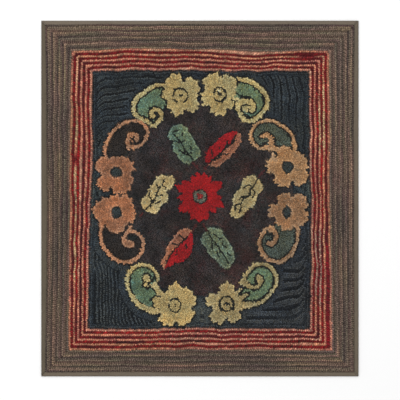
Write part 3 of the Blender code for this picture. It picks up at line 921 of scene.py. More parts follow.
# each flower and each scroll has a shade of its own
shades = {
    "flowers": {"creamTopLeft": (0.97, 0.99, 0.99), "creamTopRight": (0.96, 0.98, 0.98),
                "creamBottomLeft": (1.03, 1.03, 1.01), "creamBottomRight": (0.89, 0.91, 0.94),
                "peachLeftUpper": (0.94, 0.96, 0.96), "peachLeftLower": (1.04, 1.06, 1.05),
                "peachRightUpper": (1.01, 1.05, 1.03), "peachRightLower": (0.88, 0.90, 0.91)},
    "scrolls": {"creamTopLeft": (0.97, 1.0, 1.0), "creamTopRight": (1.0, 1.03, 1.02),
                "creamBottomLeft": (0.95, 0.98, 0.98), "creamBottomRight": (0.87, 0.90, 0.93),
                "peachLeftUpper": (0.96, 1.03, 1.05), "peachLeftLower": (1.0, 1.06, 1.08),
                "peachRightUpper": (0.98, 1.03, 1.04), "peachRightLower": (0.87, 0.91, 0.94)},
}

# wools with another shade on one side of the middle: the wool, the side of x and of y, the shade
halfShades = (("creamLeaf", 1, 0, (0.89, 0.91, 0.93)), ("greyGreen", 0, 1, (1.07, 1.08, 1.06)),
              ("sage", -1, -1, (0.94, 0.96, 0.97)))
rightMedallion = {"from": -30, "wide": 90, "shade": (0.07, 0.055, 0.045)}

# where the dark ground is paler or darker: the middle, how wide, how long, by how much
groundPatches = ((-318, 25, 40, 105, 0.33), (318, 30, 36, 75, 0.34), (316, 225, 26, 34, 0.20),
                 (18, -328, 95, 62, 0.31), (-315, 285, 30, 30, -0.16), (10, 345, 50, 26, -0.10),
                 (-232, -155, 40, 40, 0.10))
groundLights = ((0, -313, 24, 24, 0.25), (-297, -195, 26, 26, 0.18), (-230, -319, 26, 26, 0.16),
                (286, -319, 26, 26, 0.18), (180, -339, 26, 26, 0.15))

# the ground's casts above the middle, below it to the left, and below it to the right
groundLook = {"casts": ((0.925, 0.975, 1.01), (1.0, 1.04, 1.08), (0.97, 0.975, 1.02)),
              "patchTint": (1.15, 1.05, 0.65), "leftRows": 0.95, "rightRows": 0.85, "rowsVary": 0.5,
              "strip": 0.06, "along": 0.08, "cool": (0.16, 0.18)}

# painted highlights on the edges of the bright wools, and painted shade on the dark wool beside them
edgeLook = {"lift": 0.06, "shade": 0.30, "within": 4.2, "pale": 0.12, "paintedHighlightColour": (222, 210, 184)}

# maroon and dark teal patches among the brown, and by how much each changes red, green and blue
brownLook = {"maroon": (9, -4, -4), "teal": (-5, 1.5, 2.5), "slopeX": 0.0016, "slopeY": -0.0008, "fine": 0.5,
             "maroonVaries": 0.35, "tealVaries": 0.4}

# the loops of some wools are more yellow or more pink from patch to patch
warmth = {"patch": 0.035, "loop": 0.02, "sage": 1.6, "blue": 1.4}


def glows(x, y, places):
    return sum(gain * np.exp(-((x - px) / wide) ** 2 - ((y - py) / long) ** 2)
               for px, py, wide, long, gain in places)


def shadeFlowers(colour, x, y, which):
    places = [(shades[kind].get(name, 1), flowers[name]["wool"], spot["middle"])
              for kind, table in (("flowers", flowers), ("scrolls", scrolls)) for name, spot in table.items()]
    nearest = np.argmin([np.hypot(x - px, y - py) for shade, wool, (px, py) in places], axis=0)
    for at, (shade, wool, middle) in enumerate(places):
        colour[(nearest == at) & isOne(which, wool)] *= shade
    for wool, sideX, sideY, shade in halfShades:
        colour[isOne(which, wool) & (x * sideX >= 0) & (y * sideY >= 0)] *= shade
    right = isOne(which, "medallion") * np.clip((x - rightMedallion["from"]) / rightMedallion["wide"], 0, 1)
    colour *= 1 + right[:, None] * np.array([rightMedallion["shade"]])


def groundTones(x, y, at, rng):
    # strips of the dark ground differ from row to row
    row = np.floor(at["rows"]).astype(int)
    echo = np.floor(at["away"] / fieldPile["pitch"]).astype(int)
    tones = np.zeros(len(x))
    for place, table in enumerate(rowTones):
        tones = np.where(at["quarter"] == place, np.array(table)[row % len(table)], tones)
    tones = np.where(at["loose"], tones, np.array(echoTones)[echo % len(echoTones)])
    strips = rng.uniform(-1, 1, (len(rowTones), 80))[at["quarter"], np.clip(row, 0, 79)]
    along = noise("strip", x + 200 * row, y + 130 * row)
    fade = np.where(x < 0, groundLook["leftRows"], groundLook["rightRows"])
    fade = fade + groundLook["rowsVary"] * noise("fade", x, y)
    return tones * fade + at["loose"] * (groundLook["strip"] * strips + groundLook["along"] * along)


def fieldColours(loops, at, beside, rng):
    x, y, which = loops["x"], loops["y"], loops["wool"]
    count = len(x)
    colour, loop, patch = (np.array(part, float)[which] for part in zip(*wools.values()))
    tone = 1 + loop * rng.normal(0, 1, count) + patch * noise("wool", x, y) * 1.6
    dark = groundTones(x, y, at, rng)
    isGround = isOne(which, "ground")
    cast = np.array(groundLook["casts"])[np.where(y > 0, 0, np.where(x < 0, 1, 2))]
    colour = colour * np.where(isGround[:, None], cast, 1)
    glow = isGround * glows(x, y, groundPatches)
    colour = colour * (1 + glow[:, None] * np.array([groundLook["patchTint"]]))
    shadeFlowers(colour, x, y, which)
    tone = tone + isGround * (glows(x, y, groundLights) + dark)
    # painted highlights: the bright wools' edge loops are lighter and paler; painted shade: the dark wool
    # beside them is darker
    isRed = isOne(which, "redBright", "leafRed")
    shaded = ~isOne(which, *brightWools) & isOne(beside, *brightWools) & (at["away"] < edgeLook["within"])
    tone = tone + edgeLook["lift"] * (loops["rim"] & ~isRed) - edgeLook["shade"] * shaded
    colour = colour * np.clip(tone, 0.4, 1.6)[:, None]
    pale = (edgeLook["pale"] * loops["rim"] * ~isRed)[:, None]
    colour = colour * (1 - pale) + np.array([edgeLook["paintedHighlightColour"]]) * pale
    cool = np.where(isGround, np.clip(-dark, -0.3, 0.4), 0)
    colour[:, 0] *= 1 - groundLook["cool"][0] * cool
    colour[:, 2] *= 1 + groundLook["cool"][1] * cool
    inner = isOne(which, "medallion", "halo")
    maroon = noise("maroon", x, y) + brownLook["fine"] * noise("maroonFine", x, y)
    maroon = maroon + brownLook["slopeX"] * x + brownLook["slopeY"] * y
    maroon = np.clip(maroon + brownLook["maroonVaries"] * rng.normal(0, 1, count), 0, 1.2) * inner
    teal = noise("teal", x, y) + brownLook["tealVaries"] * rng.normal(0, 1, count)
    teal = np.clip(teal, 0, 1.2) * inner
    for amount, name in ((maroon, "maroon"), (teal, "teal")):
        colour += amount[:, None] * np.array([brownLook[name]])
    warm = warmth["patch"] * noise("warm", x, y) + warmth["loop"] * rng.normal(0, 1, count)
    warm = warm * np.where(isOne(which, "sage", "sageLeaf", "sageLeafPale"), warmth["sage"], 1)
    colour[:, 0] *= 1 + warm
    colour[:, 2] *= 1 - warm * warmth["blue"]
    return np.clip(colour, 8, 250)


# the rows of the border and of the stripes
borderPile = {"borderAlong": 5.2, "stripeAlong": 5.4, "slant": 30.0, "spread": 10.0, "stagger": 0.5,
              "stripeStagger": 1.05, "varies": 0.45, "bunches": 2.5}

# colour, how much one loop differs from the next, and one patch from the next
rowWools = {"taupe": ((86, 71, 63), 0.07, 0.05), "tan": ((137, 117, 100), 0.07, 0.06),
            "peach": ((199, 132, 104), 0.11, 0.05), "red": ((117, 19, 21), 0.13, 0.08)}

# how far each row of the border goes from taupe to tan, and how orange, cream or dark each stripe is
borderMix = (0.10, 0.80, 0.62, 0.02, 0.80, 0.45, 0.02, 0.82, 0.40, 0.02, 0.85, 0.40, 0.04, 0.78)
borderTone = {"top": 1.015, "right": 1.025, "bottom": 1.01, "left": 0.975}
stripeCast = ((-0.05, -0.04, -0.06), (-0.08, -0.08, 0.05), (0.02, 0.06, 0.02), (-0.06, -0.10, 0.0),
              (0.0, 0.0, 0.02), (-0.16, -0.10, 0.1), (0.0, 0.0, 0.0), (-0.02, -0.05, 0.05),
              (0.02, 0.06, 0.10))

# how the strips of wool vary along a row: the border's two casts, the red's dark, the peach's cream and pink
rowCasts = {"slow": (0.03, 0.0, -0.05), "quick": (0.04, -0.03, 0.03), "dark": (0.36, 0.34, 0.16),
            "cream": (0.04, 0.22, 0.30), "pink": (-0.10, -0.15, -0.08)}

# stretches of a stripe in another shade: the side, the stripes, from where to where along it, the shade
shadeCasts = {"cream": (0.07, 0.33, 0.28), "greyish": (-0.06, 0.08, 0.18), "dull": (-0.03, -0.01, 0.04),
              "maroon": (0.06, 0.05, 0.35), "tan": (-0.08, -0.02, -0.06), "dark": (-0.38, -0.30, -0.10),
              "reddened": (-0.36, -0.70, -0.62), "pale": (0.05, 0.15, 0.18), "bright": (0.26, 0.12, 0.16)}
stretches = (("left", (2,), 0.22, 0.30, "cream"), ("left", (2,), 0.385, 0.57, "cream"),
             ("left", (2,), 0.60, 0.775, "cream"), ("left", (0,), 0.15, 0.34, "tan"),
             ("left", (5,), 0.56, 0.80, "dark"), ("left", (2,), 0.34, 0.375, "reddened"),
             ("right", (2,), 0.09, 0.33, "cream"), ("right", (4,), 0.16, 0.33, "cream"),
             ("right", (4,), 0.60, 0.88, "greyish"), ("right", (6,), 0.62, 0.85, "greyish"),
             ("right", (1,), 0.56, 1.0, "maroon"), ("right", (0,), 0.70, 1.0, "dull"),
             ("top", (0,), 0.48, 0.83, "pale"), ("left", (4,), 0.34, 0.52, "pale"),
             ("left", (1,), 0.66, 0.74, "dark"), ("top", (2,), 0.90, 0.965, "reddened"),
             ("top", (7,), 0.06, 0.14, "dark"),
             ("bottom", (0, 2, 4, 6, 8), 0.38, 0.95, "dull"), ("bottom", (3,), 0.16, 0.28, "dark"),
             ("bottom", (3,), 0.42, 0.51, "dark"), ("bottom", (4,), 0.38, 0.48, "pale"),
             ("bottom", (7,), 0.13, 0.34, "bright"), ("left", (3,), 0.28, 0.54, "bright"),
             ("right", (1,), 0.57, 0.65, "dark"), ("right", (5,), 0.17, 0.25, "bright"),
             ("right", (3,), 0.34, 0.45, "bright"))


def tinted(amount, name):
    return amount[:, None] * np.array([rowCasts[name]])


def rowColour(side, row, share, rng):
    at = noisePlace(side, share)
    slow, quick = (noise(name, at, at * 0 + 90 * row) for name in ("rowSlow", "rowQuick"))
    stripe = row - rug["borderRows"]
    colour, loop, patch = rowWools["taupe" if stripe < 0 else "red" if stripe % 2 else "peach"]
    base = np.array([colour], float)
    if stripe < 0:
        mix = np.clip(borderMix[row] + 0.15 * slow, -0.2, 1)[:, None]
        base = (base * (1 - mix) + np.array([rowWools["tan"][0]]) * mix) * borderTone[side]
        cast = tinted(slow, "slow") + tinted(quick, "quick")
    elif stripe % 2:
        # strips of red wool run from bright to almost black
        cast = np.array([stripeCast[stripe]]) - tinted(np.clip(0.8 * quick + 0.35 * slow, -0.25, 1), "dark")
    else:
        # and strips of peach from orange over pink to cream
        cast = np.array([stripeCast[stripe]]) + tinted(np.clip(quick * 1.6 - 0.85, 0, 1), "cream")
        cast = cast + tinted(np.clip(-quick * 1.2 + 0.2 * slow, 0, 1), "pink")
    for where, stripes, first, last, shade in stretches:
        if side == where and stripe in stripes:
            inside = np.clip((share - first) / 0.02 + 0.5, 0, 1) * np.clip((last - share) / 0.02 + 0.5, 0, 1)
            if shade == "cream":
                inside = inside * np.where(rng.uniform(0, 1, len(share)) < 0.7, 1, 0.2)
            cast = cast * (1 - 0.5 * inside[:, None]) + inside[:, None] * np.array([shadeCasts[shade]])
    tone = 1 + loop * rng.normal(0, 1, len(share)) + patch * slow * 1.5
    return np.clip(base * (1 + cast) * np.clip(tone, 0.4, 1.5)[:, None], 8, 250)


def oneRow(side, row, rng):
    border = row < rug["borderRows"]
    dense = np.linspace(0, 1, 1200)
    px, py = placeOnSide(side, row + 0.5, dense)
    run = np.concatenate([[0], np.cumsum(np.hypot(np.diff(px), np.diff(py)))])
    along = borderPile["borderAlong" if border else "stripeAlong"]
    count = int(run[-1] / along)
    at = (np.arange(count) + rng.uniform(0, 1)) * run[-1] / count + rng.normal(0, borderPile["varies"], count)
    # here and there the loops stand closer
    bunch = noise("bunch", at, at * 0 + 31 * row + 400 * sideNames.index(side))
    share = np.interp(np.clip(at + borderPile["bunches"] * bunch, 0, run[-1]), run, dense)
    x, y = placeOnSide(side, row + 0.5, share)
    ax, ay = placeOnSide(side, row + 0.5, np.clip(share + 0.002, 0, 1))
    bx, by = placeOnSide(side, row + 0.5, np.clip(share - 0.002, 0, 1))
    sx, sy = placeOnSide(side, row + 1, share)
    tx, ty = placeOnSide(side, row, share)
    stagger = borderPile["stagger" if border else "stripeStagger"]
    out = stagger * rng.normal(0, 0.6, count) + 0.5 * stagger * np.where(np.arange(count) % 2, 1, -1)
    way = np.arctan2(ay - by, ax - bx)
    turn = way + math.radians(90 - borderPile["slant"])
    turn = turn + np.radians(borderPile["spread"]) * rng.normal(0, 1, count)
    return {"x": x - np.sin(way) * out, "y": y + np.cos(way) * out, "turn": turn,
            "colour": rowColour(side, row, share, rng), "wide": np.hypot(sx - tx, sy - ty),
            "along": np.full(count, along), "row": np.full(count, row)}


def joined(parts):
    return {name: np.concatenate([part[name] for part in parts]) for name in parts[0]}


def rowLoops():
    rng = np.random.default_rng(7)
    return joined([oneRow(side, row, rng) for row in range(allRows) for side in sideNames])


def linear(colour):
    colour = np.asarray(colour, float) / 255
    return np.where(colour <= 0.04045, colour / 12.92, ((colour + 0.055) / 1.055) ** 2.4)


def meshArrays(bm):
    # a finished shape as points and triangles
    bmesh.ops.triangulate(bm, faces=bm.faces)
    bmesh.ops.recalc_face_normals(bm, faces=bm.faces)
    bm.verts.index_update()
    points = np.array([vert.co for vert in bm.verts])
    corners = np.array([[vert.index for vert in face.verts] for face in bm.faces])
    bm.free()
    return points, corners


def loopShape(sides, shoulder, shoulderHeight):
    # one wool loop: a dome that is one unit across each way and one unit high
    bm = bmesh.new()
    bmesh.ops.create_cone(bm, cap_ends=True, segments=sides, radius1=1, radius2=shoulder, depth=1)
    top = max(bm.faces, key=lambda face: face.calc_center_median().z)
    made = bmesh.ops.poke(bm, faces=[top])
    for vert in bm.verts:
        vert.co.z = 0 if vert.co.z < 0 else shoulderHeight
    made["verts"][0].co.z = 1
    return meshArrays(bm)


def addPiece(name, shape, colours, material):
    # one mesh from arrays, with its colours and a flat map of it from above
    points, corners = shape
    mesh = bpy.data.meshes.new(name)
    mesh.vertices.add(len(points))
    mesh.vertices.foreach_set("co", (points * mm).astype(np.float32).ravel())
    mesh.loops.add(corners.size)
    mesh.loops.foreach_set("vertex_index", corners.astype(np.int32).ravel())
    mesh.polygons.add(len(corners))
    mesh.polygons.foreach_set("loop_start", np.arange(0, corners.size, 3, dtype=np.int32))
    mesh.update(calc_edges=True)
    mesh.shade_smooth()
    paint = mesh.color_attributes.new(name="wool", type="FLOAT_COLOR", domain="POINT")
    paints = np.hstack([colours, np.ones((len(colours), 1))]).astype(np.float32)
    paint.data.foreach_set("color", paints.ravel())
    flatMap(mesh, points, corners.ravel())
    mesh.materials.append(material)
    piece = addObject(name, mesh)
    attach(piece, "root")
    return piece


def flatMap(mesh, points, corners):
    low, high = points[:, :2].min(0), points[:, :2].max(0)
    places = 0.01 + 0.98 * (points[:, :2] - low) / (high - low)
    layer = mesh.uv_layers.new(name="OFBake")
    layer.data.foreach_set("uv", places[corners].astype(np.float32).ravel())


def copies(shape, spots, gain):
    # the loops' shape set down at each spot, stretched, leaning and turned
    unit, corners = shape
    count = len(spots["x"])
    x = unit[None, :, 0] * spots["long"][:, None]
    y = unit[None, :, 1] * spots["wide"][:, None]
    z = unit[None, :, 2] * (spots["top"] - spots["foot"])[:, None]
    x = x + spots["leanX"][:, None] * z
    y = y + spots["leanY"][:, None] * z
    c, s = np.cos(spots["turn"])[:, None], np.sin(spots["turn"])[:, None]
    points = np.stack([spots["x"][:, None] + x * c - y * s, spots["y"][:, None] + x * s + y * c,
                       spots["foot"][:, None] + z], 2).reshape(-1, 3)
    faces = (corners[None] + (np.arange(count) * len(unit))[:, None, None]).reshape(-1, 3)
    # painted shade: each copy's colour is darker towards its foot, by its foot shade
    rise = np.clip(unit[:, 2] / 0.7, 0, 1)[None]
    shade = spots["paintedFootShade"][:, None] * (1 - rise) + rise
    colours = (linear(spots["colour"]) * gain)[:, None, :] * shade[:, :, None]
    return (points, faces), colours.reshape(-1, 3)


def addNode(tree, kind, values={}, links={}, **settings):
    node = tree.nodes.new("ShaderNode" + kind)
    for key, value in settings.items():
        setattr(node, key, value)
    for key, value in values.items():
        node.inputs[key].default_value = value
    for key, socket in links.items():
        tree.links.new(socket, node.inputs[key])
    return node


def maths(tree, operation, *given):
    # a node that works with numbers and sockets
    links = {at: value for at, value in enumerate(given) if isinstance(value, bpy.types.NodeSocket)}
    values = {at: value for at, value in enumerate(given) if at not in links}
    return addNode(tree, "Math", values, links, operation=operation).outputs[0]


def newGroup(name, inputs):
    # a group that takes a colour and some values, and gives a colour and a height
    group = bpy.data.node_groups.new(name, "ShaderNodeTree")
    kinds = {"Colour": "NodeSocketColor", "Height": "NodeSocketFloat"}
    for label, value in {"Colour": (0.5, 0.5, 0.5, 1), **inputs}.items():
        kind = kinds.get(label, "NodeSocketFloat")
        group.interface.new_socket(name=label, in_out="INPUT", socket_type=kind).default_value = value
    for label, kind in kinds.items():
        group.interface.new_socket(name=label, in_out="OUTPUT", socket_type=kind)
    return group, group.nodes.new("NodeGroupInput").outputs


def finishGroup(group, given, height, tone):
    # the colour times the tone, and the height
    put = group.nodes.new("NodeGroupOutput")
    links = {0: given["Colour"], "Scale": tone.outputs["Result"]}
    shade = addNode(group, "VectorMath", links=links, operation="SCALE")
    group.links.new(shade.outputs["Vector"], put.inputs["Colour"])
    group.links.new(height, put.inputs["Height"])
    return group


def makeFibreGroup():
    # short wool or cotton fibres: they shade the colour a little and lift the surface
    group, given = newGroup("fibre", {"Fibre Size": 900.0, "Depth": 0.25})
    place = addNode(group, "TexCoord")
    fine = addNode(group, "TexNoise", {"Detail": 3.0, "Roughness": 0.7, "Distortion": 0.8},
                   {"Vector": place.outputs["Object"], "Scale": given["Fibre Size"]})
    strong = addNode(group, "MapRange", {"From Min": 0.3, "From Max": 0.7}, {"Value": fine.outputs["Fac"]})
    height = strong.outputs["Result"]
    low, high = maths(group, "SUBTRACT", 1.0, given["Depth"]), maths(group, "ADD", 1.0, given["Depth"])
    tone = addNode(group, "MapRange", links={"Value": height, "To Min": low, "To Max": high})
    return finishGroup(group, given, height, tone)


def makeWeaveGroup():
    # a plain weave, over and under, with painted shade in the gaps between its threads
    group, given = newGroup("weave", {"Thread Apart": 0.0009, "Depth": 0.3})
    place = addNode(group, "TexCoord")
    apart = addNode(group, "SeparateXYZ", links={"Vector": place.outputs["Object"]})
    turns = maths(group, "DIVIDE", math.pi, given["Thread Apart"])
    phases = [maths(group, "MULTIPLY", apart.outputs[axis], turns) for axis in ("X", "Y")]
    crossed = maths(group, "MULTIPLY", *(maths(group, "SINE", phase) for phase in phases))
    height, low = maths(group, "ABSOLUTE", crossed), maths(group, "SUBTRACT", 1.0, given["Depth"])
    tone = addNode(group, "MapRange", {"To Max": 1.1}, {"Value": height, "To Min": low})
    return finishGroup(group, given, crossed, tone)


# the scale of the fibres and how deep they shade, the lift, the sheen, the roughness, the threads' distance
cloths = {"hookedWool": (1100.0, 0.16, 0.5, 0.12, 0.95, None),
          "backCloth": (700.0, 0.2, 0.5, 0.1, 0.95, 0.0018),
          "oliveTape": (900.0, 0.14, 0.4, 0.1, 0.9, 0.0008),
          "hemThread": (2200.0, 0.1, 0.3, 0.1, 0.8, None)}


def makeCloth(name):
    fibreSize, depth, bump, sheen, roughness, threadApart = cloths[name]
    material = bpy.data.materials.new(name)
    material.use_nodes = True
    tree = material.node_tree
    colour = addNode(tree, "Attribute", attribute_name="wool").outputs["Color"]
    lift = addNode(tree, "Bump", {"Strength": bump, "Distance": 0.0004})
    if threadApart:
        values = {"Thread Apart": threadApart}
        weave = addNode(tree, "Group", values, {"Colour": colour}, node_tree=weaveGroup)
        links = {"Height": weave.outputs["Height"]}
        threads = addNode(tree, "Bump", {"Strength": 0.6, "Distance": 0.0003}, links)
        tree.links.new(threads.outputs["Normal"], lift.inputs["Normal"])
        colour = weave.outputs["Colour"]
    values = {"Fibre Size": fibreSize, "Depth": depth}
    fibre = addNode(tree, "Group", values, {"Colour": colour}, node_tree=fibreGroup)
    tree.links.new(fibre.outputs["Height"], lift.inputs["Height"])
    inputs = tree.nodes["Principled BSDF"].inputs
    tree.links.new(fibre.outputs["Colour"], inputs["Base Color"])
    tree.links.new(lift.outputs["Normal"], inputs["Normal"])
    looks = {"Roughness": roughness, "Specular IOR Level": 0.2, "Sheen Weight": sheen, "Sheen Roughness": 0.5}
    for key, value in looks.items():
        inputs[key].default_value = value
    return material


fibreGroup = makeFibreGroup()
weaveGroup = makeWeaveGroup()
hookedWool, backCloth, oliveTape, hemThread = (makeCloth(name) for name in cloths)
print("materials made")

# heights of the bed, the loops' feet and their tops, the loops' sizes, and the painted shade at their feet
pile = {"bed": 6.7, "foot": 5.4, "top": 9.5, "topVaries": 0.28, "highest": 9.95, "lean": 0.14, "gain": 1.067,
        "fieldLong": 3.1, "fieldWide": 2.5, "sizeVaries": 0.06, "paintedFootShade": 0.62, "brightFoot": 0.92,
        "brightLong": 1.06, "brightWide": 1.12, "rimLong": 1.15, "rimTop": 0.25, "groundDown": 0.25,
        "medallionDown": 0.35, "waves": 0.3, "fieldShape": (5, 0.74, 0.66), "rowShape": (6, 0.72, 0.66)}

# the loops' sizes as shares of a row's width and of their distance, their heights and feet, and the painted
# shade at their feet
rowPile = {"long": {"border": 0.62, "peach": 0.46, "red": 0.74}, "borderWide": 0.44, "stripeWide": 0.41,
           "varies": 0.08, "down": 0.1, "peachDown": 0.2, "topVaries": 0.3, "borderFoot": 0.75,
           "stripeFoot": 0.72, "firstDown": 0.5, "firstFoot": 1.2}


def fieldSpots(loops):
    rng = np.random.default_rng(15)
    count = len(loops["x"])
    spots = dict(loops)
    size = 1 + pile["sizeVaries"] * rng.normal(0, 1, count)
    bright = isOne(loops["wool"], *brightWools)
    # how dark the painted shade at each loop's foot is
    spots["paintedFootShade"] = np.where(bright, pile["brightFoot"], pile["paintedFootShade"])
    spots["long"] = pile["fieldLong"] * size * np.where(bright, pile["brightLong"], 1)
    spots["long"] = spots["long"] * np.where(loops["rim"], pile["rimLong"], 1)
    spots["wide"] = pile["fieldWide"] * size * np.where(bright, pile["brightWide"], 1)
    down = pile["groundDown"] * isOne(loops["wool"], "ground")
    level = pile["top"] - down - pile["medallionDown"] * isOne(loops["wool"], "medallion", "halo")
    level = level + pile["waves"] * noise("level", loops["x"], loops["y"])
    top = level + pile["topVaries"] * rng.normal(0, 1, count) + pile["rimTop"] * loops["rim"]
    spots["top"] = np.minimum(top, pile["highest"])
    spots["foot"] = np.full(count, pile["foot"])
    spots["leanX"], spots["leanY"] = pile["lean"] * rng.normal(0, 1, (2, count))
    return spots


def rowSpots(loops):
    rng = np.random.default_rng(16)
    count = len(loops["x"])
    spots = dict(loops)
    border = loops["row"] < rug["borderRows"]
    peach = ~border & ((loops["row"] - rug["borderRows"]) % 2 == 0)
    first = loops["row"] == 0
    share = rowPile["long"]
    long = np.select([border, peach], [share["border"], share["peach"]], share["red"])
    wide = np.where(border, rowPile["borderWide"], rowPile["stripeWide"])
    spots["long"] = loops["wide"] * long * (1 + rowPile["varies"] * rng.normal(0, 1, count))
    spots["wide"] = loops["along"] * wide * (1 + rowPile["varies"] * rng.normal(0, 1, count))
    level = pile["top"] - rowPile["down"] - rowPile["peachDown"] * peach
    top = np.minimum(level + rowPile["topVaries"] * rng.normal(0, 1, count), pile["highest"])
    spots["top"] = top - rowPile["firstDown"] * first
    spots["foot"] = pile["foot"] - rowPile["firstFoot"] * first
    # how dark the painted shade at each loop's foot is
    spots["paintedFootShade"] = np.where(border, rowPile["borderFoot"], rowPile["stripeFoot"])
    spots["leanX"], spots["leanY"] = pile["lean"] * rng.normal(0, 1, (2, count))
    return spots


def addLoops(name, shape, spots, mask):
    chosen = {key: value[mask] for key, value in spots.items()}
    mesh, colours = copies(shape, chosen, pile["gain"])
    piece = addPiece(name, mesh, colours, hookedWool)
    print(" ", name, len(piece.data.polygons))
    return piece


def makePile():
    cells = drawChart()
    print("pattern drawn on", cells["wool"].size, "cells")
    field = fieldSpots(placeLoops(cells))
    rows = rowSpots(rowLoops())
    print("loops placed:", len(field["x"]), "in the field and", len(rows["x"]), "in the border")
    groups = {
        "ground_loops": isOne(field["wool"], "ground"),
        "medallion_loops": isOne(field["wool"], "medallion", "halo"),
        "flower_loops": isOne(field["wool"], "cream", "peachLeft", "peachRight", "redBright", "hole",
                              "sageRing", "redEye", "bright", "vein", "stem"),
    }
    groups["leaf_loops"] = ~np.any(list(groups.values()), axis=0)
    pieces = [addLoops(name, loopShape(*pile["fieldShape"]), field, mask) for name, mask in groups.items()]
    border, odd = rows["row"] < rug["borderRows"], rows["row"] % 2 == 1
    groups = {"border_loops": border & ~odd, "border_loops_between": border & odd, "stripe_loops": ~border}
    pieces += [addLoops(name, loopShape(*pile["rowShape"]), rows, mask) for name, mask in groups.items()]
    return makeBed(field, rows), pieces


# the straight lines inside the rows, the drop at the edge, how it lies over the tape, and the painted shade
# on top between the loops
bedLook = {"across": 90, "along": 106, "inside": 0.4, "edgeDrop": 2.4, "edgeReach": 3.0, "waves": 0.25,
           "overTape": 1.5, "tapeReach": 8.5, "under": 0.15, "topFrom": 3, "bright": 0.75, "dark": 0.4,
           "border": 0.45, "stripe": 0.55}
# two of the bed's outer lines to a row
bedRows = [0.0] + [row / 2 + 0.25 for row in range(1, 2 * allRows)]
sideEnds = {"left": ("top", "bottom", 0.0), "right": ("top", "bottom", 1.0), "top": ("left", "right", 0.0),
            "bottom": ("left", "right", 1.0)}
halfAlong = {"left": halfWidth, "right": halfWidth, "top": halfLength, "bottom": halfLength}


def fillBetween(low, high, count):
    # from the outer lines of two sides to all the lines between them
    share = np.arange(1, count)[:, None] / count
    return np.concatenate([low, low[-1] + (high[-1] - low[-1]) * share, high[::-1]])


def straightLines(one, other, count):
    low, high = (np.array([[rowInset(side, row, 0.5)] for row in bedRows], float) for side in (one, other))
    return fillBetween(low - halfAlong[one], halfAlong[other] - high, count)[:, 0]


def sideLines(side, over):
    # a side's outer lines, where the straight ones cross them
    first, last, end = sideEnds[side]
    lines = []
    for row in bedRows:
        start = halfAlong[first] - float(rowInset(first, row, end))
        stop = float(rowInset(last, row, end)) - halfAlong[last]
        if first == "left":
            start, stop = -start, -stop
        share = np.clip((over - start) / (stop - start), 0, 1)
        lines.append(rowInset(side, row, share) + bedLook["inside"] * (row == 0))
    return np.array(lines)


def bedPlaces():
    # the bed's lines run along the rows, and straight from side to side inside them
    across, along = bedLook["across"], bedLook["along"]
    plainX, plainY = straightLines("left", "right", across), straightLines("bottom", "top", along)
    x = fillBetween(sideLines("left", plainY) - halfWidth, halfWidth - sideLines("right", plainY), across)
    y = fillBetween(sideLines("bottom", plainX) - halfLength, halfLength - sideLines("top", plainX), along)
    return x, y.T


def makeBed(field, rows):
    # the foundation cloth, filled with the loops' legs: a slab under the whole pile
    bm = bmesh.new()
    gridX, gridY = bedPlaces()
    across, along = gridX.shape[0] - 1, gridX.shape[1] - 1
    bmesh.ops.create_grid(bm, x_segments=across, y_segments=along, size=0.5)
    points = np.array([vert.co for vert in bm.verts])
    i = np.rint((points[:, 0] + 0.5) * across).astype(int)
    j = np.rint((points[:, 1] + 0.5) * along).astype(int)
    x, y = gridX[i, j], gridY[i, j]
    edge = np.min([x - gridX[0, j], gridX[-1, j] - x, y - gridY[i, 0], gridY[i, -1] - y], axis=0)
    top = pile["bed"] - bedLook["edgeDrop"] * np.exp(-edge / bedLook["edgeReach"])
    top = top + bedLook["waves"] * noise("bed", x, y)
    under = np.where(edge < bedLook["tapeReach"], bedLook["overTape"], bedLook["under"])
    for vert, px, py, pz in zip(bm.verts, x, y, top):
        vert.co = (px, py, pz)
    upper = list(bm.faces)
    rim = [e for e in bm.edges if e.is_boundary]
    lower = bmesh.ops.duplicate(bm, geom=upper)
    copiesOf = dict(lower["vert_map"].items())
    lowFaces = [part for part in lower["geom"] if isinstance(part, bmesh.types.BMFace)]
    bm.verts.ensure_lookup_table()
    for at in range(len(x)):
        copiesOf[bm.verts[at]].co.z = under[at]
    bmesh.ops.reverse_faces(bm, faces=lowFaces)
    lowRim = [e for e in bm.edges if e.is_boundary and e not in set(rim)]
    bmesh.ops.bridge_loops(bm, edges=rim + lowRim)
    bmesh.ops.recalc_face_normals(bm, faces=bm.faces)
    shape = meshArrays(bm)
    return addPiece("hooked_bed", shape, bedColours(shape[0], field, rows), backCloth)


def bedColours(points, field, rows):
    # the colour of the loop that stands nearest, darkened on top as painted shade in the gaps between the
    # loops; on the back, two neighbours run together
    x, y, colour = (np.concatenate([field[name], rows[name]]) for name in ("x", "y", "colour"))
    tree = kdtree.KDTree(len(x))
    for at, place in enumerate(zip(x.tolist(), y.tolist())):
        tree.insert((*place, 0), at)
    tree.balance()
    onTop = points[:, 2] > bedLook["topFrom"]
    hits = [[at for place, at, away in tree.find_n((px, py, 0), 1 if top else 2)]
            for (px, py, pz), top in zip(points.tolist(), onTop)]
    colours = linear(np.array([colour[near].mean(axis=0) for near in hits])) * pile["gain"]
    # painted shade on the bed's top, lighter under the bright wools
    bright, border = isOne(field["wool"], *brightWools), rows["row"] < rug["borderRows"]
    shade = np.concatenate([np.where(bright, bedLook["bright"], bedLook["dark"]),
                            np.where(border, bedLook["border"], bedLook["stripe"])])
    nearest = [near[0] for near in hits]
    return colours * np.where(onTop, shade[nearest], 1)[:, None]


bed, pilePieces = makePile()
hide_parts("hooked_pile")
print("pile made")

tape = {"thick": 1.2, "fold": 2.4, "back": 18.0, "puff": 0.35, "lipDrop": 0.2, "lipRound": 0.35, "lipIn": 0.3,
        "mitre": 0.25, "stations": 90, "wave": 0.22, "waveFrom": 3.5, "gain": 1.171, "paintedFoldShade": 0.85,
        "foldFrom": 4.6, "foldFade": 2.4}
tapeColours = {"left": (96, 87, 73), "top": (116, 105, 92), "bottom": (111, 100, 86), "right": (106, 96, 82)}


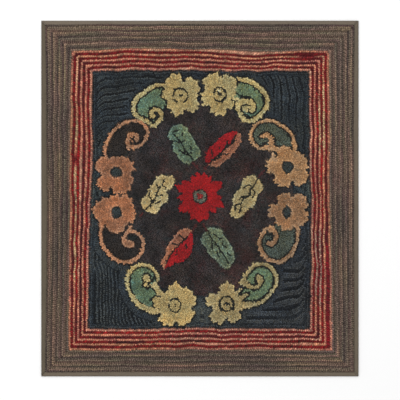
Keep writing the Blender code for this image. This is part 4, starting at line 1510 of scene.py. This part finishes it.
def tapeSection(side, share):
    # the folded tape's section, as points of (inset from the edge, height)
    lip = float(rowInset(side, 0, share)) - tape["lipIn"]
    height = 2 * tape["fold"]
    inner = tape["fold"] - tape["thick"]
    turns = [math.radians(90 + 22.5 * step) for step in range(9)]
    outerFold = [(tape["fold"] * (1 + math.cos(t)), tape["fold"] * (1 + math.sin(t))) for t in turns]
    innerFold = [(tape["fold"] + inner * math.cos(t), tape["fold"] + inner * math.sin(t)) for t in turns[::2]]
    lipTop = height - tape["lipDrop"]
    front = [(lip, lipTop - tape["lipRound"]), (lip - tape["lipRound"], lipTop)]
    for step in range(1, 5):
        part = step / 5
        inset = lip + (tape["fold"] - lip) * part
        front.append((inset, height - tape["lipDrop"] * (1 - part) + tape["puff"] * math.sin(math.pi * part)))
    back = [(tape["back"], 0.0), (tape["back"], tape["thick"])]
    return front + outerFold + back + innerFold[::-1] + [(lip, height - tape["thick"])]


def onSide(side, inset, share, gap=0.0):
    # the place at an inset from one side's edge and a share of the way along it, mitre to mitre
    outwards = 1 if side in ("top", "right") else -1
    if side in ("top", "bottom"):
        return (halfWidth - inset - gap) * (2 * share - 1), outwards * (halfLength - inset)
    return outwards * (halfWidth - inset), (halfLength - inset - gap) * (1 - 2 * share)


def tapePlaces(side, share):
    places = []
    for inset, z in tapeSection(side, share):
        x, y = onSide(side, inset, share, tape["mitre"])
        along = x if side in ("top", "bottom") else y
        # the upper side is a little wavy
        if z > tape["waveFrom"]:
            wave = smoothNoise(np.array(along), np.array(inset * 2.0), 14, 61 + sideNames.index(side))
            z += tape["wave"] * float(wave)
        places.append((x, y, z))
    return places


def makeTape(side):
    bm = bmesh.new()
    order = bm.verts.layers.int.new("order")
    places = tapePlaces(side, 0.0)
    verts = [bm.verts.new(place) for place in places]
    for at, vert in enumerate(verts):
        vert[order] = at
    rim = [bm.edges.new((verts[at - 1], verts[at])) for at in range(len(verts))]
    bmesh.ops.contextual_create(bm, geom=rim)
    for step in range(1, tape["stations"] + 1):
        places = tapePlaces(side, step / tape["stations"])
        made = bmesh.ops.extrude_edge_only(bm, edges=rim)["geom"]
        for vert in (part for part in made if isinstance(part, bmesh.types.BMVert)):
            vert.co = places[vert[order]]
        rim = [part for part in made if isinstance(part, bmesh.types.BMEdge) and part.is_boundary]
    bmesh.ops.contextual_create(bm, geom=rim)
    shape = meshArrays(bm)
    x, y = shape[0][:, 0], shape[0][:, 1]
    inset = np.minimum(halfWidth - np.abs(x), halfLength - np.abs(y))
    along = x if side in ("top", "bottom") else y
    tone = 1 + 0.06 * noise("tape", along, inset * 3) + 0.05 * noise("tapeFine", along, inset * 3)
    # painted shade: the tape darkens towards its outer edge, where it rounds over the fold
    fold = np.clip((tape["foldFrom"] - inset) / tape["foldFade"], 0, 1)
    tone = tone * (1 - (1 - tape["paintedFoldShade"]) * fold)
    colours = linear(tapeColours[side]) * tape["gain"] * tone[:, None]
    piece = addPiece("binding_" + side + "_tape", shape, colours, oliveTape)
    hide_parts("binding_" + side)
    return piece


tapes = [makeTape(side) for side in sideNames]
print("binding made")

# the stitches' colour is darker at their feet, a painted shade
hem = {"apart": 8.5, "long": 1.9, "thick": 0.5, "slant": 28.0, "slantVaries": 6, "top": 5.25, "foot": 3.6,
       "inside": 0.5, "ends": 30, "stepVaries": 0.12, "varies": 0.08, "paintedFootShade": 0.8, "gain": 0.95,
       "thread": 0.24}
hemOutwards = {"top": 90.0, "right": 0.0, "bottom": 270.0, "left": 180.0}
hemColours = {"left": (118, 107, 88), "top": (150, 139, 114), "bottom": (124, 113, 94),
              "right": (122, 110, 90)}


def stitchShape():
    # one stitch: half a ring of thread, with both ends down in the cloth
    bm = bmesh.new()
    bmesh.ops.create_circle(bm, cap_ends=False, segments=5, radius=hem["thread"])
    bmesh.ops.translate(bm, verts=bm.verts, vec=(1, 0, 0))
    ring = bm.verts[:] + bm.edges[:]
    bmesh.ops.spin(bm, geom=ring, cent=(0, 0, 0), axis=(0, 1, 0), angle=-math.pi, steps=6)
    bmesh.ops.holes_fill(bm, edges=bm.edges, sides=5)
    return meshArrays(bm)


def sideStitches(side, rng):
    count = int(((rug["width"] if side in ("top", "bottom") else rug["length"]) - hem["ends"]) / hem["apart"])
    share = (np.arange(count) + 0.5 + hem["stepVaries"] * rng.normal(0, 1, count)) / count
    share = np.clip(share, 0.004, 0.996)
    x, y = onSide(side, rowInset(side, 0, share) - hem["inside"], share)
    turn = np.radians(hemOutwards[side] + hem["slant"] + hem["slantVaries"] * rng.normal(0, 1, count))
    tone = 1 + hem["varies"] * rng.normal(0, 1, count)
    return {"x": x, "y": y, "turn": turn, "colour": np.array([hemColours[side]]) * tone[:, None]}


def makeHem():
    # the small slanting stitches that hold the tape's inner edge down
    rng = np.random.default_rng(81)
    spots = joined([sideStitches(side, rng) for side in sideNames])
    count = len(spots["x"])
    spots["long"] = hem["long"] * (1 + hem["varies"] * rng.normal(0, 1, count))
    spots["wide"] = np.full(count, hem["thick"] / hem["thread"] * 0.5)
    spots["top"] = hem["top"] + hem["varies"] * rng.normal(0, 1, count)
    spots["foot"] = np.full(count, hem["foot"])
    spots["paintedFootShade"] = np.full(count, hem["paintedFootShade"])
    spots["leanX"], spots["leanY"] = np.zeros((2, count))
    shape, colours = copies(stitchShape(), spots, hem["gain"])
    return addPiece("hem_stitches", shape, colours, hemThread)


stitches = makeHem()
print("hem sewn:", len(stitches.data.polygons), "faces")
